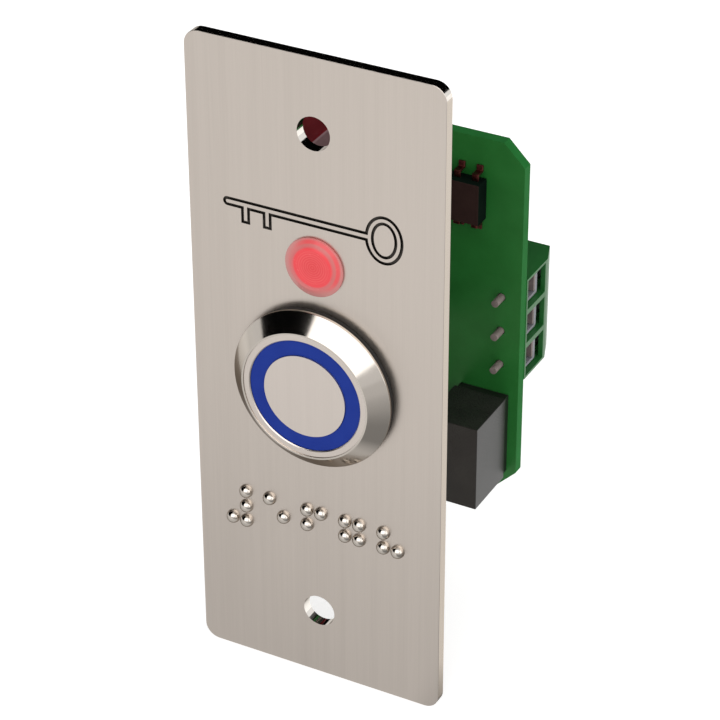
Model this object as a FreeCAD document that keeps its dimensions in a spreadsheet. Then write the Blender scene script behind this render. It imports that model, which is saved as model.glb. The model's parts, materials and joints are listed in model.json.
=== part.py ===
"""Door-release push-button plate, in millimetres.

The origin is the middle of the two screw holes, on the plate's rear face. +X is to the right as the
user sees the plate, +Y goes into the wall and +Z is up.
"""

import FreeCAD, Part
import os
import re
import Sketcher
from FreeCAD import Placement, Rotation, Vector

SIZES = {
    # face plate
    "plate_width": 35.0,
    "plate_height": 90.0,
    "plate_thick": 1.5,
    "plate_corner": 2.0,
    "screw_hole": 4.5,
    "screw_margin": 10.0,
    # engraved key
    "key_line": 0.4,
    "key_depth": 0.25,
    "key_rise": 6.05,
    "key_reach": 12.7,
    "key_bar": 1.26,
    "key_tooth": 1.25,
    "key_tooth_long": 1.95,
    "key_tooth_first": 10.2,
    "key_tooth_pitch": 3.02,
    "key_bow_centre": 9.45,
    "key_bow_half_width": 2.6,
    "key_bow_half_height": 3.3,
    "key_bow_rim": 1.02,
    # raised dots
    "bead_radius": 0.92,
    "bead_shank": 0.5,
    "bead_shank_long": 1.0,
    "bead_clearance": 0.03,
    "dot_across": 2.04,
    "dot_down": 2.29,
    "cell_pitch": 5.52,
    "dots_edge": 6.0,
    "dots_gap": 8.34,
    # push button
    "barrel_diameter": 19.0,
    "barrel_length": 13.0,
    "barrel_clearance": 0.1,
    "bezel_overhang": 1.55,
    "bezel_side": 0.35,
    "bezel_rise": 1.98,
    "bezel_land": 0.25,
    "gasket_thick": 0.95,
    "gasket_inset": 0.15,
    "neck_wall": 0.85,
    "chamber_wall": 1.9,
    "chamber_depth": 3.4,
    "rear_wall": 1.3,
    "web_thick": 3.5,
    "washer_thick": 0.7,
    "nut_wall": 1.5,
    "nut_thick": 3.0,
    "cap_clearance": 0.06,
    "cap_recess": 0.12,
    "cap_thick": 1.93,
    "cap_land": 0.83,
    "press_travel": 1.5,
    "stop_gap": 0.2,
    "ring_width": 2.06,
    "ring_depth": 1.2,
    "ring_clearance": 0.02,
    "leg_radius": 0.75,
    "leg_long": 0.9,
    "leg_clearance": 0.05,
    "stem_clearance": 0.05,
    "seal_wire": 0.64,
    "seal_depth": 1.05,
    "clip_thick": 0.6,
    "clip_depth": 0.55,
    "clip_width": 1.4,
    "clip_clearance": 0.05,
    "stem_tail": 0.75,
    "spring_wire": 0.6,
    "spring_gap": 0.5,
    "spring_seat": 0.02,
    "spring_turns": 4.0,
    "board_ring_gap": 0.4,
    "board_ring_width": 1.5,
    "board_ring_thick": 0.8,
    "board_ring_clearance": 0.1,
    "lamp_side": 1.2,
    "lamp_high": 0.8,
    "lamp_lead": 0.25,
    "lamp_lead_clearance": 0.1,
    "lamp_lead_seat": 0.5,
    # contacts behind the button
    "bridge_width": 3.4,
    "bridge_long": 9.6,
    "bridge_thick": 0.5,
    "bridge_rivet": 1.0,
    "contact_pad": 0.7,
    "contact_pad_high": 0.3,
    "contact_gap": 0.1,
    "contact_spread": 3.4,
    "contact_head": 1.1,
    "contact_head_high": 0.5,
    "contact_pin": 0.6,
    "block_clearance": 0.05,
    "block_flange": 1.0,
    "block_inset": 0.5,
    "block_side": 10.5,
    "block_long": 7.5,
    "lamp_pin": 0.4,
    "lamp_pin_spread": 2.4,
    "lamp_pin_seat": 4.0,
    "pin_clearance": 0.1,
    "pin_proud": 1.0,
    # indicator
    "lens_gap": 5.9,
    "lens_radius": 4.0,
    "lens_disc": 2.75,
    "lens_rise": 1.0,
    "lens_edge": 0.35,
    "lens_shank": 3.1,
    "lens_bore": 2.55,
    "lens_roof": 1.5,
    "lens_long": 4.0,
    "lens_clearance": 0.05,
    "push_ring_width": 1.25,
    "push_ring_thick": 0.8,
    "led_clearance": 0.1,
    "led_long": 8.6,
    "led_flange": 2.9,
    "led_flange_thick": 1.0,
    "led_lead": 0.5,
    "led_lead_spread": 1.27,
    "led_lead_clearance": 0.1,
    "spacer_radius": 2.6,
    # circuit board
    "board_gap": 26.0,
    "board_thick": 1.6,
    "board_width": 30.2,
    "board_top": 24.1,
    "board_bottom": 28.0,
    "board_corner": 3.0,
    # relay
    "relay_x": 10.25,
    "relay_z": -18.95,
    "relay_width": 7.5,
    "relay_long": 12.5,
    "relay_high": 10.0,
    "relay_wall": 0.5,
    "relay_base_high": 1.4,
    "relay_base_inset": 0.25,
    "yoke_thick": 0.6,
    "yoke_width": 4.0,
    "yoke_end": 1.15,
    "yoke_long": 7.0,
    "yoke_high": 6.7,
    "core_radius": 1.0,
    "core_offset": 2.25,
    "core_high": 5.6,
    "coil_radius": 2.8,
    "coil_high": 4.6,
    "coil_lift": 0.4,
    "armature_gap": 0.1,
    "armature_thick": 0.6,
    "armature_long": 6.8,
    "relay_pin": 0.3,
    "relay_pin_across": 2.54,
    "relay_pin_down": 5.08,
    # optocoupler
    "chip_x": 6.37,
    "chip_z": 15.7,
    "chip_width": 7.14,
    "chip_tall": 5.8,
    "chip_thick": 2.4,
    "chip_lift": 0.2,
    "lead_pitch": 2.54,
    "lead_width": 0.9,
    "lead_thick": 0.3,
    "lead_shoulder": 1.0,
    "lead_drop": 1.3,
    "lead_foot": 1.0,
    # film capacitor at the top of the board
    "film_x": -12.25,
    "film_z": 17.1,
    "film_width": 5.0,
    "film_long": 13.0,
    "film_high": 11.0,
    "film_round": 0.4,
    "film_pitch": 10.0,
    "film_lead": 0.3,
    # second, smaller film capacitor
    "timing_x": -12.7,
    "timing_z": -20.5,
    "timing_width": 4.0,
    "timing_long": 10.0,
    "timing_high": 9.0,
    "timing_pitch": 7.5,
    # electrolytic capacitor
    "can_x": -4.4,
    "can_z": -19.5,
    "can_radius": 5.0,
    "can_high": 11.0,
    "can_crimp": 1.6,
    "can_crimp_deep": 0.35,
    "can_pitch": 5.0,
    # small parts on the rear of the board
    "chip_resistor_long": 2.0,
    "chip_resistor_wide": 1.25,
    "chip_resistor_high": 0.55,
    "chip_resistor_pitch": 3.0,
    "chip_resistor_x": -9.0,
    "chip_resistor_z": 2.0,
    "diode_x": 3.0,
    "diode_z": -22.0,
    "diode_long": 4.3,
    "diode_wide": 2.6,
    "diode_high": 2.1,
    # terminal block
    "terminal_pitch": 5.08,
    "terminal_z": -3.42,
    "terminal_overhang": 0.1,
    "terminal_deep": 8.1,
    "terminal_high": 9.6,
    "terminal_shoulder": 6.35,
    "terminal_slope": 1.2,
    "terminal_divider": 0.78,
    "terminal_rear_wall": 2.3,
    "terminal_front_wall": 0.7,
    "terminal_floor": 0.4,
    "terminal_lintel": 0.65,
    "terminal_pin_inset": 2.9,
    "access_radius": 1.5,
    "access_depth": 0.9,
    "head_radius": 1.75,
    "head_high": 1.4,
    "head_clearance": 0.2,
    "head_end_gap": 0.15,
    "screw_radius": 1.2,
    "screw_clearance": 0.05,
    "slot_width": 0.6,
    "slot_depth": 0.7,
    "tongue_high": 4.2,
    "tongue_thick": 0.4,
    "tongue_width": 2.6,
    "tongue_gap": 0.05,
    "riser_gap": 0.2,
    "strip_width": 1.6,
    "cage_lift": 1.0,
    "cage_wall": 0.4,
    "cage_roof": 0.6,
    "cage_clearance": 0.15,
    "cage_window": 0.1,
    "cage_long": 4.2,
    "cage_round": 0.35,
    "terminal_pin": 0.5,
    "terminal_pin_proud": 2.0,
}

TERMINAL_WAYS = 3
LIGHT_LEGS = 4
RESISTORS = 3

# Raised dots that say the number 5678, the number sign first. Dots 1 to 3 run down the left column
# of a cell and 4 to 6 down the right one.
DOT_CELLS = [(3, 4, 5, 6), (1, 5), (1, 2, 4), (1, 2, 4, 5), (1, 2, 5)]

doc = FreeCAD.newDocument("push_button_plate")
sheet = doc.addObject("Spreadsheet::Sheet", "Sizes")
for row, (alias, value) in enumerate(SIZES.items(), 1):
    sheet.set(f"A{row}", alias)
    sheet.set(f"B{row}", str(value))
    sheet.setAlias(f"B{row}", alias)
doc.recompute()


# ---------------------------------------------------------------- formulas and helpers

WORD = re.compile(r"[a-z_]+")
HORIZONTAL, VERTICAL, ORIGIN = -1, -2, (-1, 1)
ALONG_Y = Rotation(Vector(1, 0, 0), -90)
TOWARDS_USER = Rotation(Vector(1, 0, 0), 90)
UPRIGHT = Rotation(Vector(1, 1, 1), 240)
pieces = []


def bound(formula):
    """The formula with each size read from the sheet."""
    return WORD.sub(lambda word: f"Sizes.{word[0]}" if word[0] in SIZES else word[0], formula)


def number(formula):
    return float(sheet.evalExpression(bound(formula)))


def place(thing, x="0", y="0", z="0", turn=Rotation()):
    """Put an object at three formulas, turned as given."""
    thing.Placement = Placement(Vector(number(x), number(y), number(z)), turn)
    for axis, formula in zip("xyz", (x, y, z)):
        thing.setExpression(f".Placement.Base.{axis}", bound(formula))
    return thing


def keep(thing, name):
    """Name a finished sub-part, which becomes one node."""
    thing.Label = name
    pieces.append(thing)
    return thing


def box(x, y, z, wide, deep, tall):
    """A block with its low corner at x, y, z."""
    solid = doc.addObject("Part::Box", "block")
    for side, formula in (("Length", wide), ("Width", deep), ("Height", tall)):
        solid.setExpression(side, bound(formula))
    return place(solid, x, y, z)


def centred(x, y, z, wide, deep, tall):
    """A block centred on x and z that starts at y."""
    return box(f"{x} - {wide} / 2", y, f"{z} - {tall} / 2", wide, deep, tall)


def rod(radius, start, long, x="0", z="0"):
    """A cylinder along +Y from y = start."""
    solid = doc.addObject("Part::Cylinder", "rod")
    solid.setExpression("Radius", bound(radius))
    solid.setExpression("Height", bound(long))
    return place(solid, x, start, z, ALONG_Y)


def joined(*solids):
    fuse = doc.addObject("Part::MultiFuse", "joined")
    fuse.Shapes = list(solids)
    return fuse


def cut(base, *tools):
    difference = doc.addObject("Part::Cut", "cut")
    difference.Base = base
    difference.Tool = tools[0] if len(tools) == 1 else joined(*tools)
    return difference


def group(*solids):
    """Separate solids that share one node."""
    compound = doc.addObject("Part::Compound", "group")
    compound.Links = list(solids)
    return compound


def tube(outer, inner, start, long, x="0", z="0"):
    return cut(rod(outer, start, long, x, z), rod(inner, start, long, x, z))


def new_body(x="0", y="0", z="0"):
    return place(doc.addObject("PartDesign::Body", "body"), x, y, z)


def sketch_on(body, plane, lift=None):
    """A sketch on one of the body's own planes, lifted off it by a formula."""
    sketch = body.newObject("Sketcher::SketchObject", "sketch")
    origin_plane = next(f for f in body.Origin.OriginFeatures if f.Role == plane)
    sketch.AttachmentSupport = [(origin_plane, "")]
    sketch.MapMode = "FlatFace"
    if lift:
        sketch.setExpression(".AttachmentOffset.Base.z", bound(lift))
    return sketch


def hold(sketch, geometry, end, across, up):
    """Hold a point of the sketch at two formulas, measured from the sketch's origin."""
    for kind, axis, formula in (("DistanceX", VERTICAL, across), ("DistanceY", HORIZONTAL, up)):
        value = number(formula)
        if abs(value) < 1e-9:
            sketch.addConstraint(Sketcher.Constraint("PointOnObject", geometry, end, axis))
            continue
        points = (*ORIGIN, geometry, end) if value > 0 else (geometry, end, *ORIGIN)
        index = sketch.addConstraint(Sketcher.Constraint(kind, *points, abs(value)))
        signed = formula if value > 0 else f"-({formula})"
        sketch.setExpression(f"Constraints[{index}]", bound(signed))


def outline(sketch, corners):
    """A closed outline of straight lines through the corners."""
    spots = [Vector(number(across), number(up), 0) for across, up in corners]
    first = sketch.GeometryCount
    for start, end in zip(spots, spots[1:] + spots[:1]):
        sketch.addGeometry(Part.LineSegment(start, end))
    for step, (across, up) in enumerate(corners):
        following = first + (step + 1) % len(corners)
        sketch.addConstraint(Sketcher.Constraint("Coincident", first + step, 2, following, 1))
        hold(sketch, first + step, 1, across, up)


def circles(sketch, spots):
    """Circles given as (across, up, radius)."""
    for across, up, radius in spots:
        centre = Vector(number(across), number(up), 0)
        ring = sketch.addGeometry(Part.Circle(centre, Vector(0, 0, 1), number(radius)))
        hold(sketch, ring, 3, across, up)
        index = sketch.addConstraint(Sketcher.Constraint("Radius", ring, number(radius)))
        sketch.setExpression(f"Constraints[{index}]", bound(radius))


def turned(profile, front, x="0", z="0"):
    """A body of revolution about Y, from (radius, depth) points with depth 0 at y = front."""
    body = new_body(x, front, z)
    sketch = sketch_on(body, "XY_Plane")
    outline(sketch, profile)
    turn = body.newObject("PartDesign::Revolution", "turn")
    turn.Profile = sketch
    turn.ReferenceAxis = (sketch, ["V_Axis"])
    turn.Angle = 360
    return body


def extruded(corners, thick, front):
    """A body whose outline in X and Z runs back from y = front."""
    body = new_body(y=front)
    sketch = sketch_on(body, "XZ_Plane")
    outline(sketch, corners)
    pad = body.newObject("PartDesign::Pad", "pad")
    pad.Profile = sketch
    pad.Reversed = True
    pad.setExpression("Length", bound(thick))
    return body


def drilled(body, holes):
    """Round holes right through a body along Y, which must take material away."""
    doc.recompute()
    before = body.Shape.Volume
    sketch = sketch_on(body, "XZ_Plane")
    circles(sketch, holes)
    pocket = body.newObject("PartDesign::Pocket", "holes")
    pocket.Profile = sketch
    pocket.Type = "ThroughAll"
    pocket.SideType = "Symmetric"
    doc.recompute()
    if not body.Shape.Volume < before:
        raise ValueError("the holes cut nothing")
    return body


def rounded(body, radius, along):
    """Round the body's outer edges that run along one axis."""
    doc.recompute()
    tip = body.Tip
    limits = tip.Shape.BoundBox
    low = (limits.XMin, limits.YMin, limits.ZMin)
    high = (limits.XMax, limits.YMax, limits.ZMax)
    others = [axis for axis in range(3) if axis != along]
    names = []
    for index, edge in enumerate(tip.Shape.Edges, 1):
        ends = [vertex.Point for vertex in edge.Vertexes]
        if len(ends) != 2 or abs(abs((ends[1] - ends[0])[along]) - edge.Length) > 1e-6:
            continue
        corner = all(min(abs(ends[0][a] - low[a]), abs(ends[0][a] - high[a])) < 1e-6 for a in others)
        if corner:
            names.append(f"Edge{index}")
    fillet = body.newObject("PartDesign::Fillet", "fillet")
    fillet.Base = (tip, names)
    fillet.setExpression("Radius", bound(radius))
    return body


# ---------------------------------------------------------------- heights and radii shared by pieces

PLATE_FRONT = "(-plate_thick)"
SCREW_Z = "(plate_height / 2 - screw_margin)"

BARREL = "(barrel_diameter / 2)"
BEZEL = f"({BARREL} + bezel_overhang)"
PLATE_BORE = f"({BARREL} + barrel_clearance)"
FLANGE_BACK = f"({PLATE_FRONT} - gasket_thick)"
RIM = f"({FLANGE_BACK} - bezel_side - bezel_rise)"
CAP_FRONT = f"({RIM} + cap_recess)"
CAP_BACK = f"({CAP_FRONT} + cap_thick)"
STEP_FLOOR = f"({CAP_BACK} + press_travel + stop_gap)"
WEB_FRONT = f"({STEP_FLOOR} + chamber_depth)"
WEB_BACK = f"({WEB_FRONT} + web_thick)"
SEAL_CENTRE = f"({WEB_FRONT} + seal_depth)"
CAP_BORE = f"({BARREL} - neck_wall)"
CAP_RADIUS = f"({CAP_BORE} - cap_clearance)"
RING_OUTER = f"({CAP_RADIUS} - cap_land)"
RING_INNER = f"({RING_OUTER} - ring_width)"
LEG_CIRCLE = f"(({RING_OUTER} + {RING_INNER}) / 2)"
CHAMBER = f"({BARREL} - chamber_wall)"
REAR_BORE = f"({BARREL} - rear_wall)"
BOARD_RING_OUTER = f"({CHAMBER} - board_ring_clearance)"
BOARD_RING_INNER = f"({BOARD_RING_OUTER} - board_ring_width)"
BOARD_RING_FRONT = f"({WEB_FRONT} - board_ring_thick)"
SPRING_OUTER = f"({BOARD_RING_INNER} - board_ring_gap)"
STEM = f"({SPRING_OUTER} - spring_wire - spring_gap)"
STEM_BORE = f"({STEM} + stem_clearance)"
CLIP_FRONT = f"({WEB_BACK} + clip_clearance)"
STEM_END = f"({CLIP_FRONT} + clip_thick + clip_clearance + stem_tail)"
LEAD_CIRCLE = f"({BOARD_RING_OUTER} - board_ring_width / 2)"

PAD_BACK = f"({STEM_END} + bridge_thick + contact_pad_high)"
CONTACT_FRONT = f"({PAD_BACK} + press_travel + contact_gap)"
BLOCK_FRONT = f"({CONTACT_FRONT} + contact_head_high)"
BLOCK_SQUARE = "(barrel_length + block_flange)"
BOARD_BACK = "(board_gap + board_thick)"
PINS_END = f"({BOARD_BACK} + pin_proud)"

LENS_Z = f"({BEZEL} + lens_gap)"
KEY_Z = f"({LENS_Z} + key_rise)"
LENS_FRONT = f"({PLATE_FRONT} - lens_rise)"
LED = "(lens_bore - led_clearance)"
LED_TIP = f"({LENS_FRONT} + lens_roof + led_clearance)"
LED_BACK = f"({LED_TIP} + led_long)"
LED_LEAD_CORNER = "(led_lead / sqrt(2))"

TERMINAL_FACE = "(board_width / 2 + terminal_overhang)"
TERMINAL_X = f"({TERMINAL_FACE} - terminal_pin_inset)"
TERMINAL_REAR = f"({TERMINAL_FACE} - terminal_deep)"
TONGUE_BACK = f"({BOARD_BACK} + tongue_high)"
TERMINAL_TOP = f"({BOARD_BACK} + terminal_high)"
HEAD_BACK = f"({TERMINAL_TOP} - access_depth - head_end_gap)"
HEAD_FRONT = f"({HEAD_BACK} - head_high)"


def way_z(way):
    """Height of one way of the terminal block, counted from the top."""
    return f"(terminal_z + {(TERMINAL_WAYS - 1) / 2 - way} * terminal_pitch)"


def round_the_axis(count, radius, first):
    """Points spread evenly about the button's axis."""
    angles = [first + 360 * step / count for step in range(count)]
    return [(f"({radius} * cos({angle}))", f"({radius} * sin({angle}))") for angle in angles]


LEGS = round_the_axis(LIGHT_LEGS, LEG_CIRCLE, first=45)
LAMP_LEADS = round_the_axis(2, LEAD_CIRCLE, first=0)
CONTACTS = [("0", "contact_spread"), ("0", "-contact_spread")]
LAMP_PINS = [("lamp_pin_spread", "0"), ("-lamp_pin_spread", "0")]
LED_LEADS = [("led_lead_spread", LENS_Z), ("-led_lead_spread", LENS_Z)]
FILM_LEADS = [("film_x", f"film_z {sign} film_pitch / 2") for sign in "+-"]
TIMING_LEADS = [("timing_x", f"timing_z {sign} timing_pitch / 2") for sign in "+-"]
CAN_LEADS = [(f"can_x {sign} can_pitch / 2", "can_z") for sign in "+-"]
RELAY_PINS = [
    (f"relay_x {side} relay_pin_across", f"relay_z {end} relay_pin_down") for side in "+-" for end in "+-"
]
TERMINAL_PINS = [(TERMINAL_X, way_z(way)) for way in range(TERMINAL_WAYS)]


# ---------------------------------------------------------------- face plate


def dot_spots():
    """Centres of the raised dots. The last column stands at its own distance from the plate's edge."""
    last = len(DOT_CELLS) - 1
    spots = []
    for cell, dots in enumerate(DOT_CELLS):
        for dot in dots:
            columns_left, row = 1 - (dot - 1) // 3, (dot - 1) % 3
            from_last = f"({last - cell} * cell_pitch + {columns_left} * dot_across)"
            down = f"(-{BEZEL} - dots_gap - {row} * dot_down)"
            spots.append((f"(plate_width / 2 - dots_edge - {from_last})", down))
    return spots


def ellipse_prism(half_width, half_height, depth):
    """An upright oval prism that runs into the plate from its front face."""
    curve = doc.addObject("Part::Ellipse", "oval")
    curve.setExpression("MajorRadius", bound(half_height))
    curve.setExpression("MinorRadius", bound(half_width))
    place(curve, "key_bow_centre", PLATE_FRONT, KEY_Z, UPRIGHT)
    prism = doc.addObject("Part::Extrusion", "oval_prism")
    prism.Base = curve
    prism.DirMode = "Custom"
    prism.Dir = Vector(0, 1, 0)
    prism.Solid = True
    prism.setExpression("LengthFwd", bound(depth))
    return prism


def key_shape(inset):
    """The key's outline drawn in by an inset, as a solid sunk into the plate's front face."""
    bar = f"(key_bar / 2 - {inset})"
    bar_start = "(-key_reach + key_bar / 2)"
    solids = [
        rod(bar, PLATE_FRONT, "key_depth", bar_start, KEY_Z),
        box(bar_start, PLATE_FRONT, f"{KEY_Z} - {bar}", "key_reach - key_bar / 2 + key_bow_centre -"
            " key_bow_half_width + key_bow_rim / 2", "key_depth", f"2 * {bar}"),
        ellipse_prism(f"key_bow_half_width - {inset}", f"key_bow_half_height - {inset}", "key_depth"),
    ]
    for tooth in range(2):
        left = f"(-key_tooth_first + {tooth} * key_tooth_pitch + {inset})"
        foot = f"({KEY_Z} - key_bar / 2 - key_tooth_long + {inset})"
        solids.append(box(left, PLATE_FRONT, foot, f"key_tooth - 2 * {inset}", "key_depth",
                          f"key_tooth_long + key_bar / 2 - {inset}"))
    return joined(*solids)


def key_groove():
    """The engraved line round the key, and the one round the hole in its bow."""
    hole = [f"(key_bow_half_{way} - key_bow_rim {{}})" for way in ("width", "height")]
    line = cut(key_shape("0"), key_shape("key_line"))
    eye = cut(
        ellipse_prism(*(size.format("+ key_line / 2") for size in hole), "key_depth"),
        ellipse_prism(*(size.format("- key_line / 2") for size in hole), "key_depth"),
    )
    return joined(line, eye)


def make_plate():
    half_width, half_height = "(plate_width / 2)", "(plate_height / 2)"
    corners = [(f"{a}{half_width}", f"{b}{half_height}") for a, b in ("--", "+-", "++", "-+")]
    corners = [(across.lstrip("+"), up.lstrip("+")) for across, up in corners]
    body = rounded(extruded(corners, "plate_thick", PLATE_FRONT), "plate_corner", along=1)
    screws = [("0", SCREW_Z, "screw_hole / 2"), ("0", f"-{SCREW_Z}", "screw_hole / 2")]
    indicator = ("0", LENS_Z, "lens_shank + lens_clearance")
    drilled(body, screws + [("0", "0", PLATE_BORE), indicator])
    seats = [
        rod("bead_shank + bead_clearance", PLATE_FRONT, "bead_shank_long + bead_clearance", x, z)
        for x, z in dot_spots()
    ]
    keep(cut(cut(body, *seats), key_groove()), "faceplate")


def make_dots():
    """Half-round beads, each on a shank in the plate."""
    beads = []
    for x, z in dot_spots():
        dome = doc.addObject("Part::Sphere", "dome")
        dome.setExpression("Radius", bound("bead_radius"))
        dome.Angle1 = 0
        dome.Angle2 = 90
        place(dome, x, PLATE_FRONT, z, TOWARDS_USER)
        beads.append(joined(dome, rod("bead_shank", PLATE_FRONT, "bead_shank_long", x, z)))
    keep(group(*beads), "braille_beads")


# ---------------------------------------------------------------- push button


def depths(start, *marks):
    """Depths of the marks behind a start, both given as y."""
    return [f"({mark} - {start})" for mark in marks]


def make_housing():
    """Bezel and barrel in one turned piece, with a web that guides the stem."""
    flange, rear, web_back, web_front, step = depths(
        RIM, FLANGE_BACK, "barrel_length", WEB_BACK, WEB_FRONT, STEP_FLOOR
    )
    profile = [
        (CAP_BORE, "0"),
        (f"({CAP_BORE} + bezel_land)", "0"),
        (BEZEL, "bezel_rise"),
        (BEZEL, flange),
        (BARREL, flange),
        (BARREL, rear),
        (REAR_BORE, rear),
        (REAR_BORE, web_back),
        (STEM_BORE, web_back),
        (STEM_BORE, web_front),
        (CHAMBER, web_front),
        (CHAMBER, step),
        (CAP_BORE, step),
    ]
    body = turned(profile, RIM)
    drilled(body, [(x, z, "lamp_lead + lamp_lead_clearance") for x, z in LAMP_LEADS])
    keep(body, "button_housing")


def make_fixings():
    """Gasket in front of the plate, lock washer and nut behind it."""
    gasket = tube(f"({BEZEL} - gasket_inset)", PLATE_BORE, FLANGE_BACK, "gasket_thick")
    keep(gasket, "button_gasket")
    nut_half = f"({BARREL} + nut_wall)"
    keep(tube(f"({nut_half} - barrel_clearance)", PLATE_BORE, "0", "washer_thick"), "lock_washer")
    prism = doc.addObject("Part::Prism", "hexagon")
    prism.Polygon = 6
    prism.setExpression("Circumradius", bound(f"{nut_half} / cos(30)"))
    prism.setExpression("Height", bound("nut_thick"))
    place(prism, y="washer_thick", turn=ALONG_Y)
    keep(cut(prism, rod(PLATE_BORE, "washer_thick", "nut_thick")), "lock_nut")


def make_actuator():
    """Cap and stem, turned as one, with a channel for the light ring and grooves for seal and clip."""
    clip_front, clip_back, end = depths(
        CAP_FRONT, f"{CLIP_FRONT} - clip_clearance / 2",
        f"({CLIP_FRONT} + clip_thick + clip_clearance / 2)", STEM_END
    )
    seal = depths(CAP_FRONT, f"({SEAL_CENTRE} - seal_wire / 2)", f"({SEAL_CENTRE} + seal_wire / 2)")
    seal_floor = f"({STEM_BORE} - seal_wire)"
    profile = [
        ("0", "0"),
        (RING_INNER, "0"),
        (RING_INNER, "ring_depth"),
        (RING_OUTER, "ring_depth"),
        (RING_OUTER, "0"),
        (CAP_RADIUS, "0"),
        (CAP_RADIUS, "cap_thick"),
        (STEM, "cap_thick"),
        (STEM, seal[0]),
        (seal_floor, seal[0]),
        (seal_floor, seal[1]),
        (STEM, seal[1]),
        (STEM, clip_front),
        (f"({STEM} - clip_depth)", clip_front),
        (f"({STEM} - clip_depth)", clip_back),
        (STEM, clip_back),
        (STEM, end),
        ("0", end),
    ]
    body = turned(profile, CAP_FRONT)
    drilled(body, [(x, z, "leg_radius + leg_clearance") for x, z in LEGS])
    keep(body, "actuator_cap")


def make_light_ring():
    """The ring that shines, with legs that reach through the cap towards the lamps."""
    inner, outer = f"({RING_INNER} + ring_clearance)", f"({RING_OUTER} - ring_clearance)"
    ring = turned([(inner, "0"), (outer, "0"), (outer, "ring_depth"), (inner, "ring_depth")], CAP_FRONT)
    leg_start = f"({CAP_FRONT} + ring_depth)"
    leg_long = "cap_thick - ring_depth + leg_long"
    keep(joined(ring, *(rod("leg_radius", leg_start, leg_long, x, z) for x, z in LEGS)), "light_ring")


def make_stem_fittings():
    """Rubber seal, spring and clip round the stem."""
    seal = doc.addObject("Part::Torus", "seal")
    wire = "(seal_wire / 2 - stem_clearance / 4)"
    seal.setExpression("Radius1", bound(f"{STEM_BORE} - seal_wire / 2"))
    seal.setExpression("Radius2", bound(wire))
    place(seal, y=SEAL_CENTRE, turn=ALONG_Y)
    keep(seal, "stem_seal")

    coil = new_body(y=f"{CAP_BACK} + spring_wire / 2 + spring_seat")
    sketch = sketch_on(coil, "XY_Plane")
    circles(sketch, [(f"({SPRING_OUTER} - spring_wire / 2)", "0", "spring_wire / 2")])
    helix = coil.newObject("PartDesign::AdditiveHelix", "helix")
    helix.Profile = sketch
    helix.ReferenceAxis = (sketch, ["V_Axis"])
    helix.Mode = "pitch-height-angle"
    height = f"({WEB_FRONT} - {CAP_BACK} - spring_wire - 2 * spring_seat)"
    helix.setExpression("Height", bound(height))
    helix.setExpression("Pitch", bound(f"{height} / spring_turns"))
    keep(coil, "return_spring")

    ring = tube(f"({STEM} + clip_width)", f"({STEM} - clip_depth + clip_clearance)", CLIP_FRONT, "clip_thick")
    gap = box(f"-{STEM} + clip_depth", CLIP_FRONT, "0", f"2 * ({STEM} - clip_depth)", "clip_thick",
              f"{STEM} + clip_width")
    keep(cut(ring, gap), "retaining_ring")


def make_contacts():
    """The bridge on the stem's end, and the block with its fixed contacts and pins."""
    bar = centred("0", STEM_END, "0", "bridge_width", "bridge_thick", "bridge_long")
    rivet = rod("bridge_rivet", STEM_END, "bridge_thick + contact_pad_high")
    pads = [rod("contact_pad", STEM_END, "bridge_thick + contact_pad_high", x, z) for x, z in CONTACTS]
    keep(joined(bar, rivet, *pads), "contact_bridge")

    spigot = rod(f"({REAR_BORE} - block_clearance)", BLOCK_FRONT, f"barrel_length - {BLOCK_FRONT}")
    flange = rod(f"({BARREL} - block_inset)", "barrel_length", "block_flange")
    square = centred("0", BLOCK_SQUARE, "0", "block_side", "block_long", "block_side")
    block_long = f"{BLOCK_SQUARE} + block_long - {BLOCK_FRONT}"
    bores = [rod("contact_pin", BLOCK_FRONT, block_long, x, z) for x, z in CONTACTS]
    rear = f"{BLOCK_SQUARE} + block_long - lamp_pin_seat"
    bores += [rod("lamp_pin", rear, "lamp_pin_seat", x, z) for x, z in LAMP_PINS]
    bores += [rod("lamp_lead", BLOCK_FRONT, "lamp_lead_seat", x, z) for x, z in LAMP_LEADS]
    keep(cut(joined(spigot, flange, square), *bores), "contact_block")

    pins = [
        joined(
            rod("contact_head", CONTACT_FRONT, "contact_head_high", x, z),
            rod("contact_pin", CONTACT_FRONT, f"{PINS_END} - {CONTACT_FRONT}", x, z),
        )
        for x, z in CONTACTS
    ]
    keep(group(*pins), "contact_pins")
    keep(group(*(rod("lamp_pin", rear, f"{PINS_END} - ({rear})", x, z) for x, z in LAMP_PINS)), "lamp_pins")


def make_lamps():
    """A ring board round the spring, with a lamp under each leg of the light ring."""
    ring = tube(BOARD_RING_OUTER, BOARD_RING_INNER, BOARD_RING_FRONT, "board_ring_thick")
    holes = [rod("lamp_lead", BOARD_RING_FRONT, "board_ring_thick", x, z) for x, z in LAMP_LEADS]
    keep(cut(ring, *holes), "lamp_board")
    front = f"({BOARD_RING_FRONT} - lamp_high)"
    lamps = [centred(x, front, z, "lamp_side", "lamp_high", "lamp_side") for x, z in LEGS]
    keep(group(*lamps), "lamp_chips")
    long = f"{BLOCK_FRONT} + lamp_lead_seat - {BOARD_RING_FRONT}"
    keep(group(*(rod("lamp_lead", BOARD_RING_FRONT, long, x, z) for x, z in LAMP_LEADS)), "lamp_leads")


# ---------------------------------------------------------------- indicator


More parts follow.
